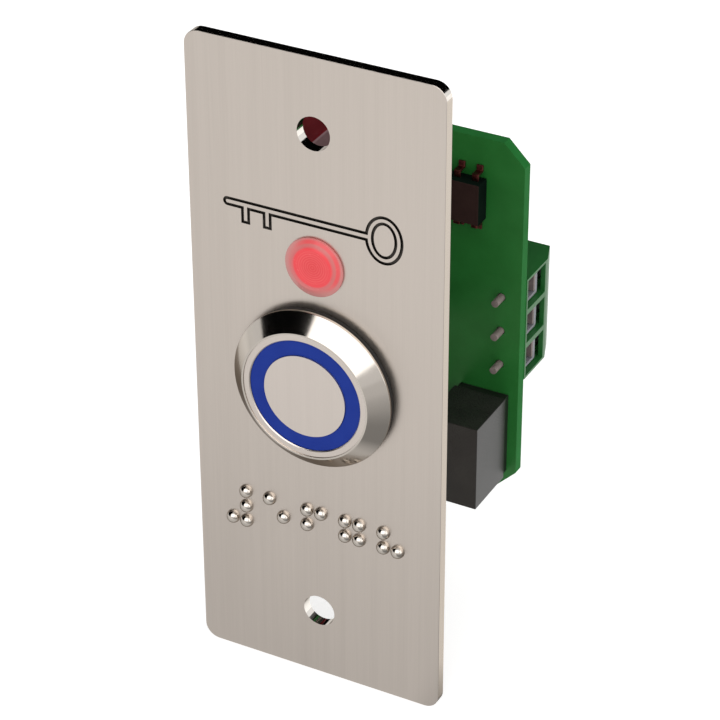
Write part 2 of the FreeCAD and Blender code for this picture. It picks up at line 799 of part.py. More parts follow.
def make_indicator():
    profile = [
        ("0", "0"),
        ("lens_disc", "0"),
        ("lens_radius", "(lens_rise - lens_edge)"),
        ("lens_radius", "lens_rise"),
        ("lens_shank", "lens_rise"),
        ("lens_shank", "(lens_rise + lens_long)"),
        ("lens_bore", "(lens_rise + lens_long)"),
        ("lens_bore", "lens_roof"),
        ("0", "lens_roof"),
    ]
    keep(turned(profile, LENS_FRONT, z=LENS_Z), "indicator_lens")
    inner = "(lens_shank + lens_clearance)"
    keep(tube(f"({inner} + push_ring_width)", inner, "0", "push_ring_thick", z=LENS_Z), "indicator_clip")

    dome = doc.addObject("Part::Sphere", "dome")
    dome.setExpression("Radius", bound(LED))
    place(dome, y=f"{LED_TIP} + {LED}", z=LENS_Z)
    body = rod(LED, f"{LED_TIP} + {LED}", f"led_long - {LED}", z=LENS_Z)
    flange = rod("led_flange", f"{LED_BACK} - led_flange_thick", "led_flange_thick", z=LENS_Z)
    keep(joined(dome, body, flange), "indicator_lamp")

    leads = [
        centred(x, LED_BACK, z, "led_lead", f"{PINS_END} - {LED_BACK}", "led_lead") for x, z in LED_LEADS
    ]
    keep(group(*leads), "indicator_leads")
    long = f"board_gap - {LED_BACK}"
    bores = [rod(f"{LED_LEAD_CORNER} + led_lead_clearance", LED_BACK, long, x, z) for x, z in LED_LEADS]
    keep(cut(rod("spacer_radius", LED_BACK, long, z=LENS_Z), *bores), "lamp_spacer")


# ---------------------------------------------------------------- circuit board


def make_board():
    half = "(board_width / 2)"
    corners = [
        (f"(-{half} + board_corner)", "-board_bottom"),
        (f"({half} - board_corner)", "-board_bottom"),
        (half, "(-board_bottom + board_corner)"),
        (half, "(board_top - board_corner)"),
        (f"({half} - board_corner)", "board_top"),
        (f"(-{half} + board_corner)", "board_top"),
        (f"-{half}", "(board_top - board_corner)"),
        (f"-{half}", "(-board_bottom + board_corner)"),
    ]
    body = extruded(corners, "board_thick", "board_gap")
    rows = [
        (CONTACTS, "contact_pin"),
        (LAMP_PINS, "lamp_pin"),
        (LED_LEADS, LED_LEAD_CORNER),
        (FILM_LEADS + TIMING_LEADS + CAN_LEADS, "film_lead"),
        (RELAY_PINS, "relay_pin"),
        (TERMINAL_PINS, "terminal_pin"),
    ]
    drilled(body, [(x, z, f"{radius} + pin_clearance") for spots, radius in rows for x, z in spots])
    keep(body, "circuit_board")


def film_capacitor(name, size):
    """A moulded box on edge, whose sizes are the ones that start with this word."""
    left, right = (f"({size}_x {sign} {size}_width / 2)" for sign in "-+")
    low, high = (f"({size}_z {sign} {size}_long / 2)" for sign in "-+")
    corners = [(left, low), (right, low), (right, high), (left, high)]
    body = extruded(corners, f"{size}_high", f"(board_gap - {size}_high)")
    keep(rounded(body, "film_round", along=1), name)


def make_capacitors():
    film_capacitor("film_capacitor", "film")
    film_capacitor("timing_capacitor", "timing")
    crimp_front, crimp_back = (f"(can_high - can_crimp {sign} can_crimp_deep)" for sign in "-+")
    can = [
        ("0", "0"),
        ("can_radius", "0"),
        ("can_radius", crimp_front),
        ("(can_radius - can_crimp_deep)", "(can_high - can_crimp)"),
        ("can_radius", crimp_back),
        ("can_radius", "can_high"),
        ("0", "can_high"),
    ]
    keep(turned(can, "(board_gap - can_high)", "can_x", "can_z"), "electrolytic_capacitor")
    spots = FILM_LEADS + TIMING_LEADS + CAN_LEADS
    leads = [rod("film_lead", "board_gap", f"{PINS_END} - board_gap", x, z) for x, z in spots]
    keep(group(*leads), "capacitor_leads")


def make_optocoupler():
    """A six-lead package: each lead leaves the body, drops to the board and ends in a foot."""
    body_front = "(board_gap - chip_lift - chip_thick)"
    keep(centred("chip_x", body_front, "chip_z", "chip_width", "chip_thick", "chip_tall"), "optocoupler")
    leads = []
    shoulder = f"({body_front} + lead_drop - lead_thick)"
    for column in (-1, 0, 1):
        left = f"(chip_x + {column} * lead_pitch - lead_width / 2)"
        for end in (1, -1):
            side = f"(chip_z + {end} * chip_tall / 2)"
            outer = "lead_shoulder"
            low = {1: (side, f"({side} + {outer} - lead_thick)"),
                   -1: (f"({side} - {outer})", f"({side} - {outer})")}[end]
            foot = {1: low[1], -1: f"({side} - {outer} - lead_foot + lead_thick)"}[end]
            leads.append(joined(
                box(left, shoulder, low[0], "lead_width", "lead_thick", outer),
                box(left, shoulder, low[1], "lead_width", f"board_gap - {shoulder}", "lead_thick"),
                box(left, "board_gap - lead_thick", foot, "lead_width", "lead_thick", "lead_foot"),
            ))
    keep(group(*leads), "optocoupler_leads")


def make_rear_parts():
    chips = [
        centred("chip_resistor_x", BOARD_BACK, f"(chip_resistor_z - {step} * chip_resistor_pitch)",
                "chip_resistor_long", "chip_resistor_high", "chip_resistor_wide")
        for step in range(RESISTORS)
    ]
    keep(group(*chips), "chip_resistors")
    keep(centred("diode_x", BOARD_BACK, "diode_z", "diode_long", "diode_high", "diode_wide"), "diode")


# ---------------------------------------------------------------- relay


def make_relay():
    """Case and base, and inside them the coil on its core, the yoke and the armature that tips on it."""
    x, z = "relay_x", "relay_z"
    base_front = "(board_gap - relay_base_high)"
    base_wide, base_long = "(relay_width - 2 * relay_base_inset)", "(relay_long - 2 * relay_base_inset)"
    keep(centred(x, base_front, z, base_wide, "relay_base_high", base_long), "relay_base")
    case_front = "(board_gap - relay_high)"
    case_high = "(relay_high - relay_base_high)"
    shell = centred(x, case_front, z, "relay_width", case_high, "relay_long")
    room = centred(x, f"{case_front} + relay_wall", z, "(relay_width - 2 * relay_wall)",
                   f"{case_high} - relay_wall", "(relay_long - 2 * relay_wall)")
    keep(cut(shell, room), "relay_case")
    pins = [rod("relay_pin", "board_gap", f"{PINS_END} - board_gap", px, pz) for px, pz in RELAY_PINS]
    keep(group(*pins), "relay_pins")

    yoke_left = f"({x} - yoke_width / 2)"
    yoke_low = f"({z} - relay_long / 2 + yoke_end)"
    yoke_floor = f"({base_front} - yoke_thick)"
    leg_front = f"({base_front} - yoke_high)"
    leg_low = f"({yoke_low} + yoke_long - yoke_thick)"
    keep(joined(
        box(yoke_left, yoke_floor, yoke_low, "yoke_width", "yoke_thick", "yoke_long"),
        box(yoke_left, leg_front, leg_low, "yoke_width", "yoke_high", "yoke_thick"),
    ), "relay_yoke")

    core_z = f"({z} - core_offset)"
    keep(rod("core_radius", f"({yoke_floor} - core_high)", "core_high", x, core_z), "relay_core")
    coil_front = f"({yoke_floor} - coil_lift - coil_high)"
    keep(tube("coil_radius", "core_radius", coil_front, "coil_high", x, core_z), "relay_coil")

    armature_back = f"({leg_front} - armature_gap)"
    armature_low = f"({leg_low} + yoke_thick - armature_long)"
    keep(box(yoke_left, f"{armature_back} - armature_thick", armature_low, "yoke_width",
             "armature_thick", "armature_long"), "relay_armature")


# ---------------------------------------------------------------- terminal block


CAVITY_HALF = "((terminal_pitch - terminal_divider) / 2)"
CAVITY_FLOOR = f"({BOARD_BACK} + terminal_floor)"
CAGE_HALF = f"({CAVITY_HALF} - cage_clearance)"
CAGE_FLOOR = f"({BOARD_BACK} + cage_lift)"
CAGE_BACK = f"({TONGUE_BACK} + cage_window + cage_roof)"
CAGE_FRONT_X = f"({TERMINAL_X} - cage_long / 2)"
HEAD_POCKET = f"({HEAD_FRONT} - head_end_gap)"


def make_terminal_housing():
    body = new_body(z=f"{way_z(TERMINAL_WAYS - 1)} - terminal_pitch / 2")
    sketch = sketch_on(body, "XY_Plane")
    outline(sketch, [
        (TERMINAL_REAR, BOARD_BACK),
        (TERMINAL_FACE, BOARD_BACK),
        (TERMINAL_FACE, f"({BOARD_BACK} + terminal_shoulder)"),
        (f"({TERMINAL_FACE} - terminal_slope)", TERMINAL_TOP),
        (TERMINAL_REAR, TERMINAL_TOP),
    ])
    pad = body.newObject("PartDesign::Pad", "pad")
    pad.Profile = sketch
    pad.setExpression("Length", bound(f"{TERMINAL_WAYS} * terminal_pitch"))

    cage_room_x = f"({TERMINAL_REAR} + terminal_rear_wall)"
    mouth_x = f"({TERMINAL_FACE} - terminal_front_wall)"
    rooms = []
    for way in range(TERMINAL_WAYS):
        low = f"({way_z(way)} - {CAVITY_HALF})"
        rooms += [
            box(cage_room_x, CAVITY_FLOOR, low, f"{mouth_x} - {cage_room_x}",
                f"{HEAD_POCKET} - {CAVITY_FLOOR}", f"2 * {CAVITY_HALF}"),
            box(mouth_x, CAVITY_FLOOR, low, "terminal_front_wall",
                "terminal_shoulder - terminal_floor - terminal_lintel", f"2 * {CAVITY_HALF}"),
            rod("head_radius + head_clearance", HEAD_POCKET,
                f"{TERMINAL_TOP} - access_depth - {HEAD_POCKET}", TERMINAL_X, way_z(way)),
            rod("access_radius", HEAD_BACK, f"{TERMINAL_TOP} - {HEAD_BACK}", TERMINAL_X, way_z(way)),
            rod("terminal_pin + pin_clearance", BOARD_BACK, "terminal_floor", TERMINAL_X, way_z(way)),
        ]
    keep(cut(body, *rooms), "terminal_housing")


def make_terminal_cage(way):
    """A square clamp, open along X, that the screw draws towards its head."""
    body = new_body(x=CAGE_FRONT_X, z=way_z(way))
    sketch = sketch_on(body, "YZ_Plane")
    for side, floor, roof in ((CAGE_HALF, CAGE_FLOOR, CAGE_BACK),
                              (f"({CAGE_HALF} - cage_wall)", f"({CAGE_FLOOR} + cage_wall)",
                               f"({CAGE_BACK} - cage_roof)")):
        outline(sketch, [(floor, f"-{side}"), (roof, f"-{side}"), (roof, side), (floor, side)])
    pad = body.newObject("PartDesign::Pad", "pad")
    pad.Profile = sketch
    pad.setExpression("Length", bound("cage_long"))
    rounded(body, "cage_round", along=0)
    thread = rod("screw_radius + screw_clearance", f"{CAGE_BACK} - cage_roof - cage_window", "cage_roof +"
                 " 2 * cage_window", TERMINAL_X, way_z(way))
    keep(cut(body, thread), f"terminal_cage_{way + 1}")


def make_terminal_screw(way):
    z = way_z(way)
    shank_front = f"({TONGUE_BACK} + tongue_gap)"
    shank = rod("screw_radius", shank_front, f"{HEAD_BACK} - {shank_front}", TERMINAL_X, z)
    head = rod("head_radius", HEAD_FRONT, "head_high", TERMINAL_X, z)
    slot_front = f"({HEAD_BACK} - slot_depth)"
    slot = centred(TERMINAL_X, slot_front, z, "2 * head_radius", "slot_depth", "slot_width")
    keep(cut(joined(shank, head), slot), f"terminal_screw_{way + 1}")


def terminal_contact(way):
    """Pin, strip under the cage, riser behind it and tongue inside it, bent from one piece."""
    z = way_z(way)
    pin_front = "(board_gap - terminal_pin_proud)"
    strip_front = f"({CAVITY_FLOOR} + tongue_gap)"
    riser_x = f"({CAGE_FRONT_X} - riser_gap - tongue_thick)"
    strip_end = f"({TERMINAL_X} + terminal_pin)"
    tongue_front = f"({TONGUE_BACK} - tongue_thick)"
    return joined(
        rod("terminal_pin", pin_front, f"{strip_front} + tongue_thick - {pin_front}", TERMINAL_X, z),
        centred(f"(({riser_x} + {strip_end}) / 2)", strip_front, z, f"({strip_end} - {riser_x})",
                "tongue_thick", "strip_width"),
        centred(f"({riser_x} + tongue_thick / 2)", strip_front, z, "tongue_thick",
                f"{TONGUE_BACK} - {strip_front}", "strip_width"),
        centred(f"({riser_x} + (cage_long + riser_gap + tongue_thick) / 2)", tongue_front, z,
                "(cage_long + riser_gap + tongue_thick)", "tongue_thick", "tongue_width"),
    )


def make_terminals():
    make_terminal_housing()
    for way in range(TERMINAL_WAYS):
        make_terminal_cage(way)
        make_terminal_screw(way)
    keep(group(*(terminal_contact(way) for way in range(TERMINAL_WAYS))), "terminal_contacts")


# ---------------------------------------------------------------- build, check and write


def check():
    """Stop if any object failed or any sub-part has no valid shape."""
    for thing in doc.Objects:
        if "Invalid" in thing.State or "Error" in thing.State:
            raise ValueError(f"{thing.Name} ({thing.Label}) failed: {thing.State}")
    for piece in pieces:
        if piece.Shape.isNull() or not piece.Shape.isValid() or not piece.Shape.Solids:
            raise ValueError(f"{piece.Label} has no valid solid")


def write():
    os.makedirs("parts", exist_ok=True)
    for piece in pieces:
        piece.Shape.exportStep(f"parts/{piece.Label}.step")


make_plate()
make_dots()
make_housing()
make_fixings()
make_actuator()
make_light_ring()
make_stem_fittings()
make_contacts()
make_lamps()
make_indicator()
make_board()
make_capacitors()
make_optocoupler()
make_rear_parts()
make_relay()
make_terminals()
doc.recompute()
check()
write()
print(len(pieces), "sub-parts written")
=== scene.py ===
import json
import math

import bmesh
import bpy
from mathutils import Matrix, Vector


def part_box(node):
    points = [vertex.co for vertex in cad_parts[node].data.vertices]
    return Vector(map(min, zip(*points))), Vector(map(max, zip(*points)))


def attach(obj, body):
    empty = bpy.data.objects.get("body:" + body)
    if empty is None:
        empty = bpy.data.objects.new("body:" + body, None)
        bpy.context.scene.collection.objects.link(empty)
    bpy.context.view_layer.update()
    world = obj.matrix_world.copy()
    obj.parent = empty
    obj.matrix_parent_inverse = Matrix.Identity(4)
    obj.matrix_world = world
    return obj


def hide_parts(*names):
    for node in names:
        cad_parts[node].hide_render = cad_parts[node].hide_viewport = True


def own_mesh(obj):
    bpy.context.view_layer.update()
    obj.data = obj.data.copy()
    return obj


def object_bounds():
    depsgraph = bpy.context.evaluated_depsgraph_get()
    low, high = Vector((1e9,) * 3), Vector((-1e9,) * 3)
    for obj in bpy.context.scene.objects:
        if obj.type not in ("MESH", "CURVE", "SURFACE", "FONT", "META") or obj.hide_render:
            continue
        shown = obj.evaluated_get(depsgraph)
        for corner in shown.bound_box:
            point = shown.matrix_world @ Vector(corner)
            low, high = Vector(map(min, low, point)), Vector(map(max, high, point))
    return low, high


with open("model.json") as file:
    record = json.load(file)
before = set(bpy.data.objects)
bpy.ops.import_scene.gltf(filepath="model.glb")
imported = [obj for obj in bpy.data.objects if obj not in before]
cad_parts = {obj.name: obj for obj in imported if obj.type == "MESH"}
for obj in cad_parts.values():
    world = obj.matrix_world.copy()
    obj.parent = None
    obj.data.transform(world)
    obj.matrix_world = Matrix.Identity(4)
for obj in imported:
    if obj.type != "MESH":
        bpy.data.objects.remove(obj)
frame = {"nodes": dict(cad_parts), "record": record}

CAD_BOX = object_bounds()
MM = 0.001
RECORD = frame["record"]
SLOT_OF = {part["node"]: part["material_slot"] for part in RECORD["subparts"]}
BODY_OF = {node: body for body, nodes in RECORD["behaviour"]["bodies"].items() for node in nodes}
ROOT = BODY_OF["faceplate"]


# ---------------------------------------------------------------- places read from the CAD


def middle(node):
    low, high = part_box(node)
    return (low + high) / 2


def radius_of(node):
    """Half the width of a round node whose axis runs along Y."""
    low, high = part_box(node)
    return (high.x - low.x) / 2


def bore_of(node):
    """Radius of the hole down the middle of a round node on the button's axis."""
    return min(math.hypot(vert.co.x, vert.co.z) for vert in frame["nodes"][node].data.vertices)


def solids_of(node):
    """The corners of each separate solid of a node."""
    bm = bmesh.new()
    bm.from_mesh(frame["nodes"][node].data)
    bmesh.ops.remove_doubles(bm, verts=bm.verts, dist=1e-6)
    left, found = set(bm.verts), []
    while left:
        reached = [left.pop()]
        for vert in reached:
            for edge in vert.link_edges:
                other = edge.other_vert(vert)
                if other in left:
                    left.remove(other)
                    reached.append(other)
        places = [[vert.co[way] for vert in reached] for way in range(3)]
        found.append((Vector(map(min, places)), Vector(map(max, places))))
    bm.free()
    return sorted(found, key=lambda corners: tuple(round(c, 5) for c in corners[0]))


PLATE_LOW, PLATE_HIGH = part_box("faceplate")
PLATE_FRONT, PLATE_BACK = PLATE_LOW.y, PLATE_HIGH.y
SCREWS = next(mount for mount in RECORD["mounts"] if mount["name"] == "plate_screws")
HOLE_HEIGHT = SCREWS["dims"]["spacing_y_mm"] / 2 * MM
BEZEL_LOW, BEZEL_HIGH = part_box("button_housing")
GASKET_LOW, GASKET_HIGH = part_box("button_gasket")
CAP_LOW, CAP_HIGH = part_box("actuator_cap")
CAP_RADIUS = radius_of("actuator_cap")
RING_LOW, RING_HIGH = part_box("light_ring")
LENS_LOW, LENS_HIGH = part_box("indicator_lens")
LENS = middle("indicator_lens")
LENS_RADIUS = radius_of("indicator_lens")
BOARD_LOW, BOARD_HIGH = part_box("circuit_board")
BOARD_BACK = BOARD_HIGH.y
SPRING_LOW, SPRING_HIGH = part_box("return_spring")


# ---------------------------------------------------------------- camera


def make_camera():
    target = Vector((6.16, -1.5, 5.41)) * MM
    distance = 346.2 * MM
    azimuth, elevation, roll = (math.radians(angle) for angle in (28.08, 31.834, -0.165))
    back = Vector((
        math.sin(azimuth) * math.cos(elevation),
        -math.cos(azimuth) * math.cos(elevation),
        math.sin(elevation),
    ))
    camera = bpy.data.objects.new("camera", bpy.data.cameras.new("camera"))
    camera.data.lens = 141.2
    camera.data.sensor_width = 36.0
    camera.data.clip_start = 0.01
    camera.data.clip_end = 20.0
    turn = (-back).to_track_quat("-Z", "Y").to_matrix().to_4x4() @ Matrix.Rotation(roll, 4, "Z")
    camera.matrix_world = Matrix.Translation(target + back * distance) @ turn
    bpy.context.scene.collection.objects.link(camera)
    bpy.context.scene.camera = camera


make_camera()


# ---------------------------------------------------------------- finishes


def paint(red, green, blue):
    """A colour given as it looks on a screen, from 0 to 255, as a shader wants it."""
    shares = (channel / 255 for channel in (red, green, blue))
    return (*(s / 12.92 if s <= 0.04045 else ((s + 0.055) / 1.055) ** 2.4 for s in shares), 1.0)


class Finish:
    """A Principled material, with the few patterns that the finishes here are made of."""

    def __init__(self, name, colour, roughness, metallic=0.0, **sockets):
        self.material = bpy.data.materials.new(name)
        self.material.use_nodes = True
        tree = self.material.node_tree
        self.nodes, self.links = tree.nodes, tree.links
        self.shader = self.nodes["Principled BSDF"]
        self.shader.inputs["Base Color"].default_value = paint(*colour)
        self.shader.inputs["Roughness"].default_value = roughness
        self.shader.inputs["Metallic"].default_value = metallic
        for socket, value in sockets.items():
            self.shader.inputs[socket.replace("_", " ")].default_value = value
        self.place = self.nodes.new("ShaderNodeTexCoord").outputs["Object"]

    def node(self, kind, inputs=(), **settings):
        made = self.nodes.new(kind)
        for setting, value in settings.items():
            setattr(made, setting, value)
        for socket, value in dict(inputs).items():
            if isinstance(value, bpy.types.NodeSocket):
                self.links.new(value, made.inputs[socket])
            else:
                made.inputs[socket].default_value = value
        return made

    def mapped(self, scale):
        return self.node("ShaderNodeMapping", {"Vector": self.place, "Scale": scale}).outputs[0]

    def noise(self, scale, detail=3.0, rough=0.55):
        """Noise whose patches are 1 / scale metres across along each axis."""
        return self.node("ShaderNodeTexNoise", {
            "Vector": self.mapped(scale), "Scale": 1.0, "Detail": detail, "Roughness": rough,
        }).outputs["Fac"]

    def between(self, pattern, low, high, start=0.3, stop=0.7):
        """The pattern's values from start to stop, spread from low to high."""
        return self.node("ShaderNodeMapRange", {
            "Value": pattern, "From Min": start, "From Max": stop, "To Min": low, "To Max": high,
        }).outputs[0]

    def maths(self, first, second, operation="ADD"):
        return self.node("ShaderNodeMath", {0: first, 1: second}, operation=operation).outputs[0]

    def shades(self, share, stops):
        """The colours at some positions along a value that runs from 0 to 1."""
        ramp = self.node("ShaderNodeValToRGB", {0: share})
        while len(ramp.color_ramp.elements) < len(stops):
            ramp.color_ramp.elements.new(0.5)
        for element, (position, colour) in zip(ramp.color_ramp.elements, stops):
            element.position = position
            element.color = colour
        return ramp.outputs[0]

    def ramp(self, value, stops, start, reach):
        """Tones at distances in mm along a value that is in metres."""
        share = self.between(value, 0.0, 1.0, start, start + reach)
        greys = [((distance * MM - start) / reach, (tone, tone, tone, 1.0)) for distance, tone in stops]
        return self.node("ShaderNodeSeparateColor", {0: self.shades(share, greys)}).outputs[0]

    def tint(self, pattern, low, high):
        """Colour between two shades by a pattern that runs from 0 to 1."""
        mix = self.node("ShaderNodeMix", data_type="RGBA")
        self.links.new(pattern, mix.inputs["Factor"])
        mix.inputs["A"].default_value = paint(*low)
        mix.inputs["B"].default_value = paint(*high)
        self.links.new(mix.outputs["Result"], self.shader.inputs["Base Color"])
        return self

    def rough(self, value):
        self.links.new(value, self.shader.inputs["Roughness"])
        return self

    def bump(self, pattern, height, strength=1.0):
        relief = self.node("ShaderNodeBump", {"Height": pattern, "Distance": height,
                                              "Strength": strength})
        self.links.new(relief.outputs[0], self.shader.inputs["Normal"])
        return self


def every_way(scale):
    return (scale, scale, scale)


def brushed(name, low, high, roughness, grain=1.0):
    """Steel ground up and down: long streaks along Z, and fine scratches in them."""
    finish = Finish(name, high, roughness, metallic=1.0, Anisotropic=0.45)
    streaks = finish.noise((900 * grain, 900 * grain, 9), detail=4.0)
    scratches = finish.noise((7000 * grain, 7000 * grain, 90), detail=2.0)
    both = finish.maths(finish.maths(streaks, 0.6, "MULTIPLY"), finish.maths(scratches, 0.4, "MULTIPLY"))
    finish.tint(finish.between(both, 0.0, 1.0, 0.35, 0.65), low, high)
    finish.rough(finish.between(both, roughness - 0.04, roughness + 0.04, 0.35, 0.65))
    finish.bump(both, 0.0025 * MM, 0.4)
    across = finish.node("ShaderNodeCombineXYZ", {"X": 1.0})
    finish.links.new(across.outputs[0], finish.shader.inputs["Tangent"])
    return finish.material


def polished(name, colour, roughness, wear=0.03):
    """Bright metal with the faint haze that handling leaves, darker where it is seen edge on."""
    finish = Finish(name, colour, roughness, metallic=1.0, Specular_Tint=(0.3, 0.28, 0.26, 1.0))
    haze = finish.noise(every_way(420), detail=5.0)
    return finish.rough(finish.between(haze, roughness, roughness + wear)).material


def plated(name, low, high, roughness, patch=500, metallic=1.0):
    """Plain or plated metal that is a little cloudy."""
    finish = Finish(name, high, roughness, metallic)
    cloud = finish.noise(every_way(patch), detail=5.0)
    grain = finish.noise(every_way(16000), detail=2.0)
    finish.tint(finish.between(cloud, 0.0, 1.0), low, high)
    finish.rough(finish.between(cloud, roughness - 0.06, roughness + 0.08))
    return finish.bump(grain, 0.003 * MM, 0.4).material


def moulded(name, low, high, roughness, **sockets):
    """Moulded plastic or rubber with a fine matt grain."""
    finish = Finish(name, high, roughness, **sockets)
    cloud = finish.noise(every_way(300), detail=4.0)
    grain = finish.noise(every_way(9000), detail=3.0)
    finish.tint(finish.between(cloud, 0.0, 1.0), low, high)
    finish.rough(finish.between(grain, roughness - 0.04, roughness + 0.06))
    return finish.bump(grain, 0.004 * MM, 0.35).material


FINISHES = {
    "brushed_steel": brushed("brushed_steel", (211, 201, 192), (217, 207, 198), 0.34),
    "polished_steel": polished("polished_steel", (208, 200, 191), 0.11),
    "steel": plated("nickel_plate", (168, 164, 158), (186, 182, 176), 0.26),
    "spring_steel": plated("spring_steel", (120, 118, 116), (150, 148, 146), 0.3),
    "zinc": plated("zinc_plate", (165, 163, 165), (190, 188, 188), 0.34),
    "rubber": moulded("black_rubber", (14, 13, 13), (24, 23, 22), 0.62),
    "blue_diffuser": moulded("blue_diffuser", (18, 46, 136), (23, 52, 143), 0.5,
                             Specular_IOR_Level=0.15),
    "red_lens": moulded("red_lens", (228, 62, 70), (240, 74, 82), 0.2, Transmission_Weight=0.35),
    "red_lamp": moulded("red_epoxy", (196, 24, 26), (214, 34, 34), 0.12, Transmission_Weight=0.5),
    "black_plastic": moulded("black_plastic", (22, 21, 20), (31, 30, 29), 0.34),
    "grey_black_plastic": moulded("relay_plastic", (37, 36, 35), (46, 45, 43), 0.28,
                                  Specular_IOR_Level=0.32),
    "green_plastic": moulded("terminal_plastic", (26, 92, 38), (32, 102, 44), 0.36),
    "board_green": moulded("solder_mask", (34, 106, 42), (39, 114, 48), 0.42, Specular_IOR_Level=0.3),
    "board_white": moulded("lamp_board_mask", (214, 214, 208), (230, 230, 224), 0.45),
    "lamp_white": moulded("lamp_white", (226, 222, 196), (240, 236, 210), 0.3),
    "tinned_copper": plated("tinned_copper", (172, 168, 166), (196, 192, 190), 0.3, 900),
    "brass": plated("brass", (176, 146, 84), (200, 170, 104), 0.26),
    "copper": plated("copper_wire", (168, 84, 48), (196, 106, 64), 0.3, 1500),
    # The film capacitor's red is darkened as painted shade.
    "red_plastic": moulded("capacitor_red_painted_shade", (84, 13, 19), (98, 18, 25), 0.36,
                           Specular_IOR_Level=0.2),
    "can_sleeve": moulded("can_sleeve", (34, 38, 44), (44, 48, 56), 0.25),
    "ceramic_chip": moulded("ceramic_chip", (30, 30, 32), (40, 40, 42), 0.3),
}
CAP_STEEL = brushed("cap_steel", (219, 209, 201), (224, 214, 206), 0.32, 1.6)
EDGE_STEEL = polished("cut_steel", (230, 220, 209), 0.12, 0.05)
# Near-white painted highlight for the screw holes' walls and the plate's corner sides.
HIGHLIGHT_STEEL = polished("cut_steel_painted_highlight", (252, 247, 240), 0.06, 0.03)
# Dark painted shade for the grooves of the engraved key and the can's scores.
GROOVE_SHADE = plated("steel_painted_groove_shade", (52, 49, 46), (70, 66, 62), 0.35)
BOARD_EDGE = moulded("board_edge", (30, 100, 42), (36, 110, 50), 0.6, Specular_IOR_Level=0.05)
BOARD_TRACK = moulded("masked_copper", (40, 116, 50), (48, 128, 60), 0.4)
# Painted lit and shaded copies of the chip's black plastic: reddish brown on its front, near-black green
# as painted shade on its +X side and top.
CHIP_LIT_FRONT = moulded("chip_plastic_painted_lit_front", (46, 33, 31), (56, 41, 38), 0.7, Specular_IOR_Level=0.0)
CHIP_SHADED_SIDE = moulded("chip_side_painted_shade", (12, 22, 17), (17, 28, 22), 0.7, Specular_IOR_Level=0.0)
# Mauve-grey painted sheen for the film capacitor's faces turned to +X.
CAPACITOR_SIDE_SHEEN = moulded("capacitor_side_painted_sheen", (112, 84, 88), (124, 94, 98), 0.4)
CAGE_ZINC = plated("dull_zinc", (138, 138, 144), (156, 156, 162), 0.55, metallic=0.2)
PIN_TIN = plated("dull_tin", (122, 110, 107), (140, 127, 123), 0.55, 900, metallic=0.2)
SOLDER = plated("solder", (176, 176, 180), (204, 204, 208), 0.22, 900)
# Dark red painted reflection on the chip's leads.
LEAD_RED_REFLECTION = plated("leads_painted_red_reflection", (104, 54, 52), (126, 70, 66), 0.4, 900)


def lens_plastic():
    """Red plastic over a moulded ring, painted paler towards its rim as a painted sheen, most of all at
    its lower left, with pale painted bands on the rim at its upper right, painted glints along the rings,
    and a faint painted glow.
    """
    # The faint red emission is a painted glow.
    finish = Finish("red_lens", (236, 84, 90), 0.22, Specular_IOR_Level=0.35,
                    Emission_Color=(0.9, 0.05, 0.06, 1.0), Emission_Strength=0.03)
    heart = LENS + Vector((0.18, 0.0, 0.36)) * MM
    from_heart = finish.node("ShaderNodeVectorMath", {0: finish.place, 1: heart},
                             operation="SUBTRACT")
    flat = finish.node("ShaderNodeVectorMath", {0: from_heart.outputs[0], 1: (1.0, 0.0, 1.0)},
                       operation="MULTIPLY")
    away = finish.node("ShaderNodeVectorMath", {0: flat.outputs[0]},
                       operation="LENGTH").outputs["Value"]
    share = finish.maths(away, LENS_RADIUS, "DIVIDE")
    upper_right = finish.node("ShaderNodeVectorMath", {0: flat.outputs[0], 1: (0.75, 0.0, 0.66)},
                              operation="DOT_PRODUCT").outputs["Value"]

    def painted(*stops):
        return finish.shades(share, [(position, paint(*colour)) for position, colour in stops])

    middle_red = [(0.0, (220, 62, 68)), (0.3, (224, 68, 74)), (0.64, (232, 74, 80)),
                  (0.7, (204, 108, 108))]
    # Pale bands painted on the rim towards the upper right, as the light and shade of a rim step.
    painted_step_bands = painted(*middle_red, (0.76, (202, 114, 112)), (0.8, (226, 88, 91)), (0.87, (222, 92, 95)),
                     (0.92, (200, 130, 128)))
    # Paler towards the rim: a painted sheen, blended in most at the lower left.
    pale = painted(*middle_red, (0.8, (206, 120, 118)), (1.0, (200, 142, 138)))
    blend = finish.node("ShaderNodeMix", data_type="RGBA")
    to_painted_step_bands = finish.between(upper_right, 0.0, 1.0, -0.8 * MM, 1.4 * MM)
    finish.links.new(to_painted_step_bands, blend.inputs["Factor"])
    finish.links.new(pale, blend.inputs["A"])
    finish.links.new(painted_step_bands, blend.inputs["B"])

    ring_pitch = 0.3 * MM
    ripple = finish.maths(finish.maths(away, math.tau / ring_pitch, "MULTIPLY"), 0.0, "SINE")
    inside = finish.between(share, 1.0, 0.0, 0.5, 0.62)
    rings = finish.maths(finish.between(ripple, 0.0, 0.12, -1.0, 1.0), inside, "MULTIPLY")
    # Painted glints: pale red laid along the rings in the middle.
    ring_glints = finish.node("ShaderNodeMix", data_type="RGBA")
    finish.links.new(rings, ring_glints.inputs["Factor"])
    finish.links.new(blend.outputs["Result"], ring_glints.inputs["A"])
    ring_glints.inputs["B"].default_value = paint(255, 158, 150)
    finish.links.new(ring_glints.outputs["Result"], finish.shader.inputs["Base Color"])

    grain = finish.noise(every_way(2500), detail=3.0)
    finish.rough(finish.between(grain, 0.18, 0.28))
    return finish.bump(grain, 0.002 * MM, 0.3).material


RED_LENS = lens_plastic()


# ---------------------------------------------------------------- making pieces


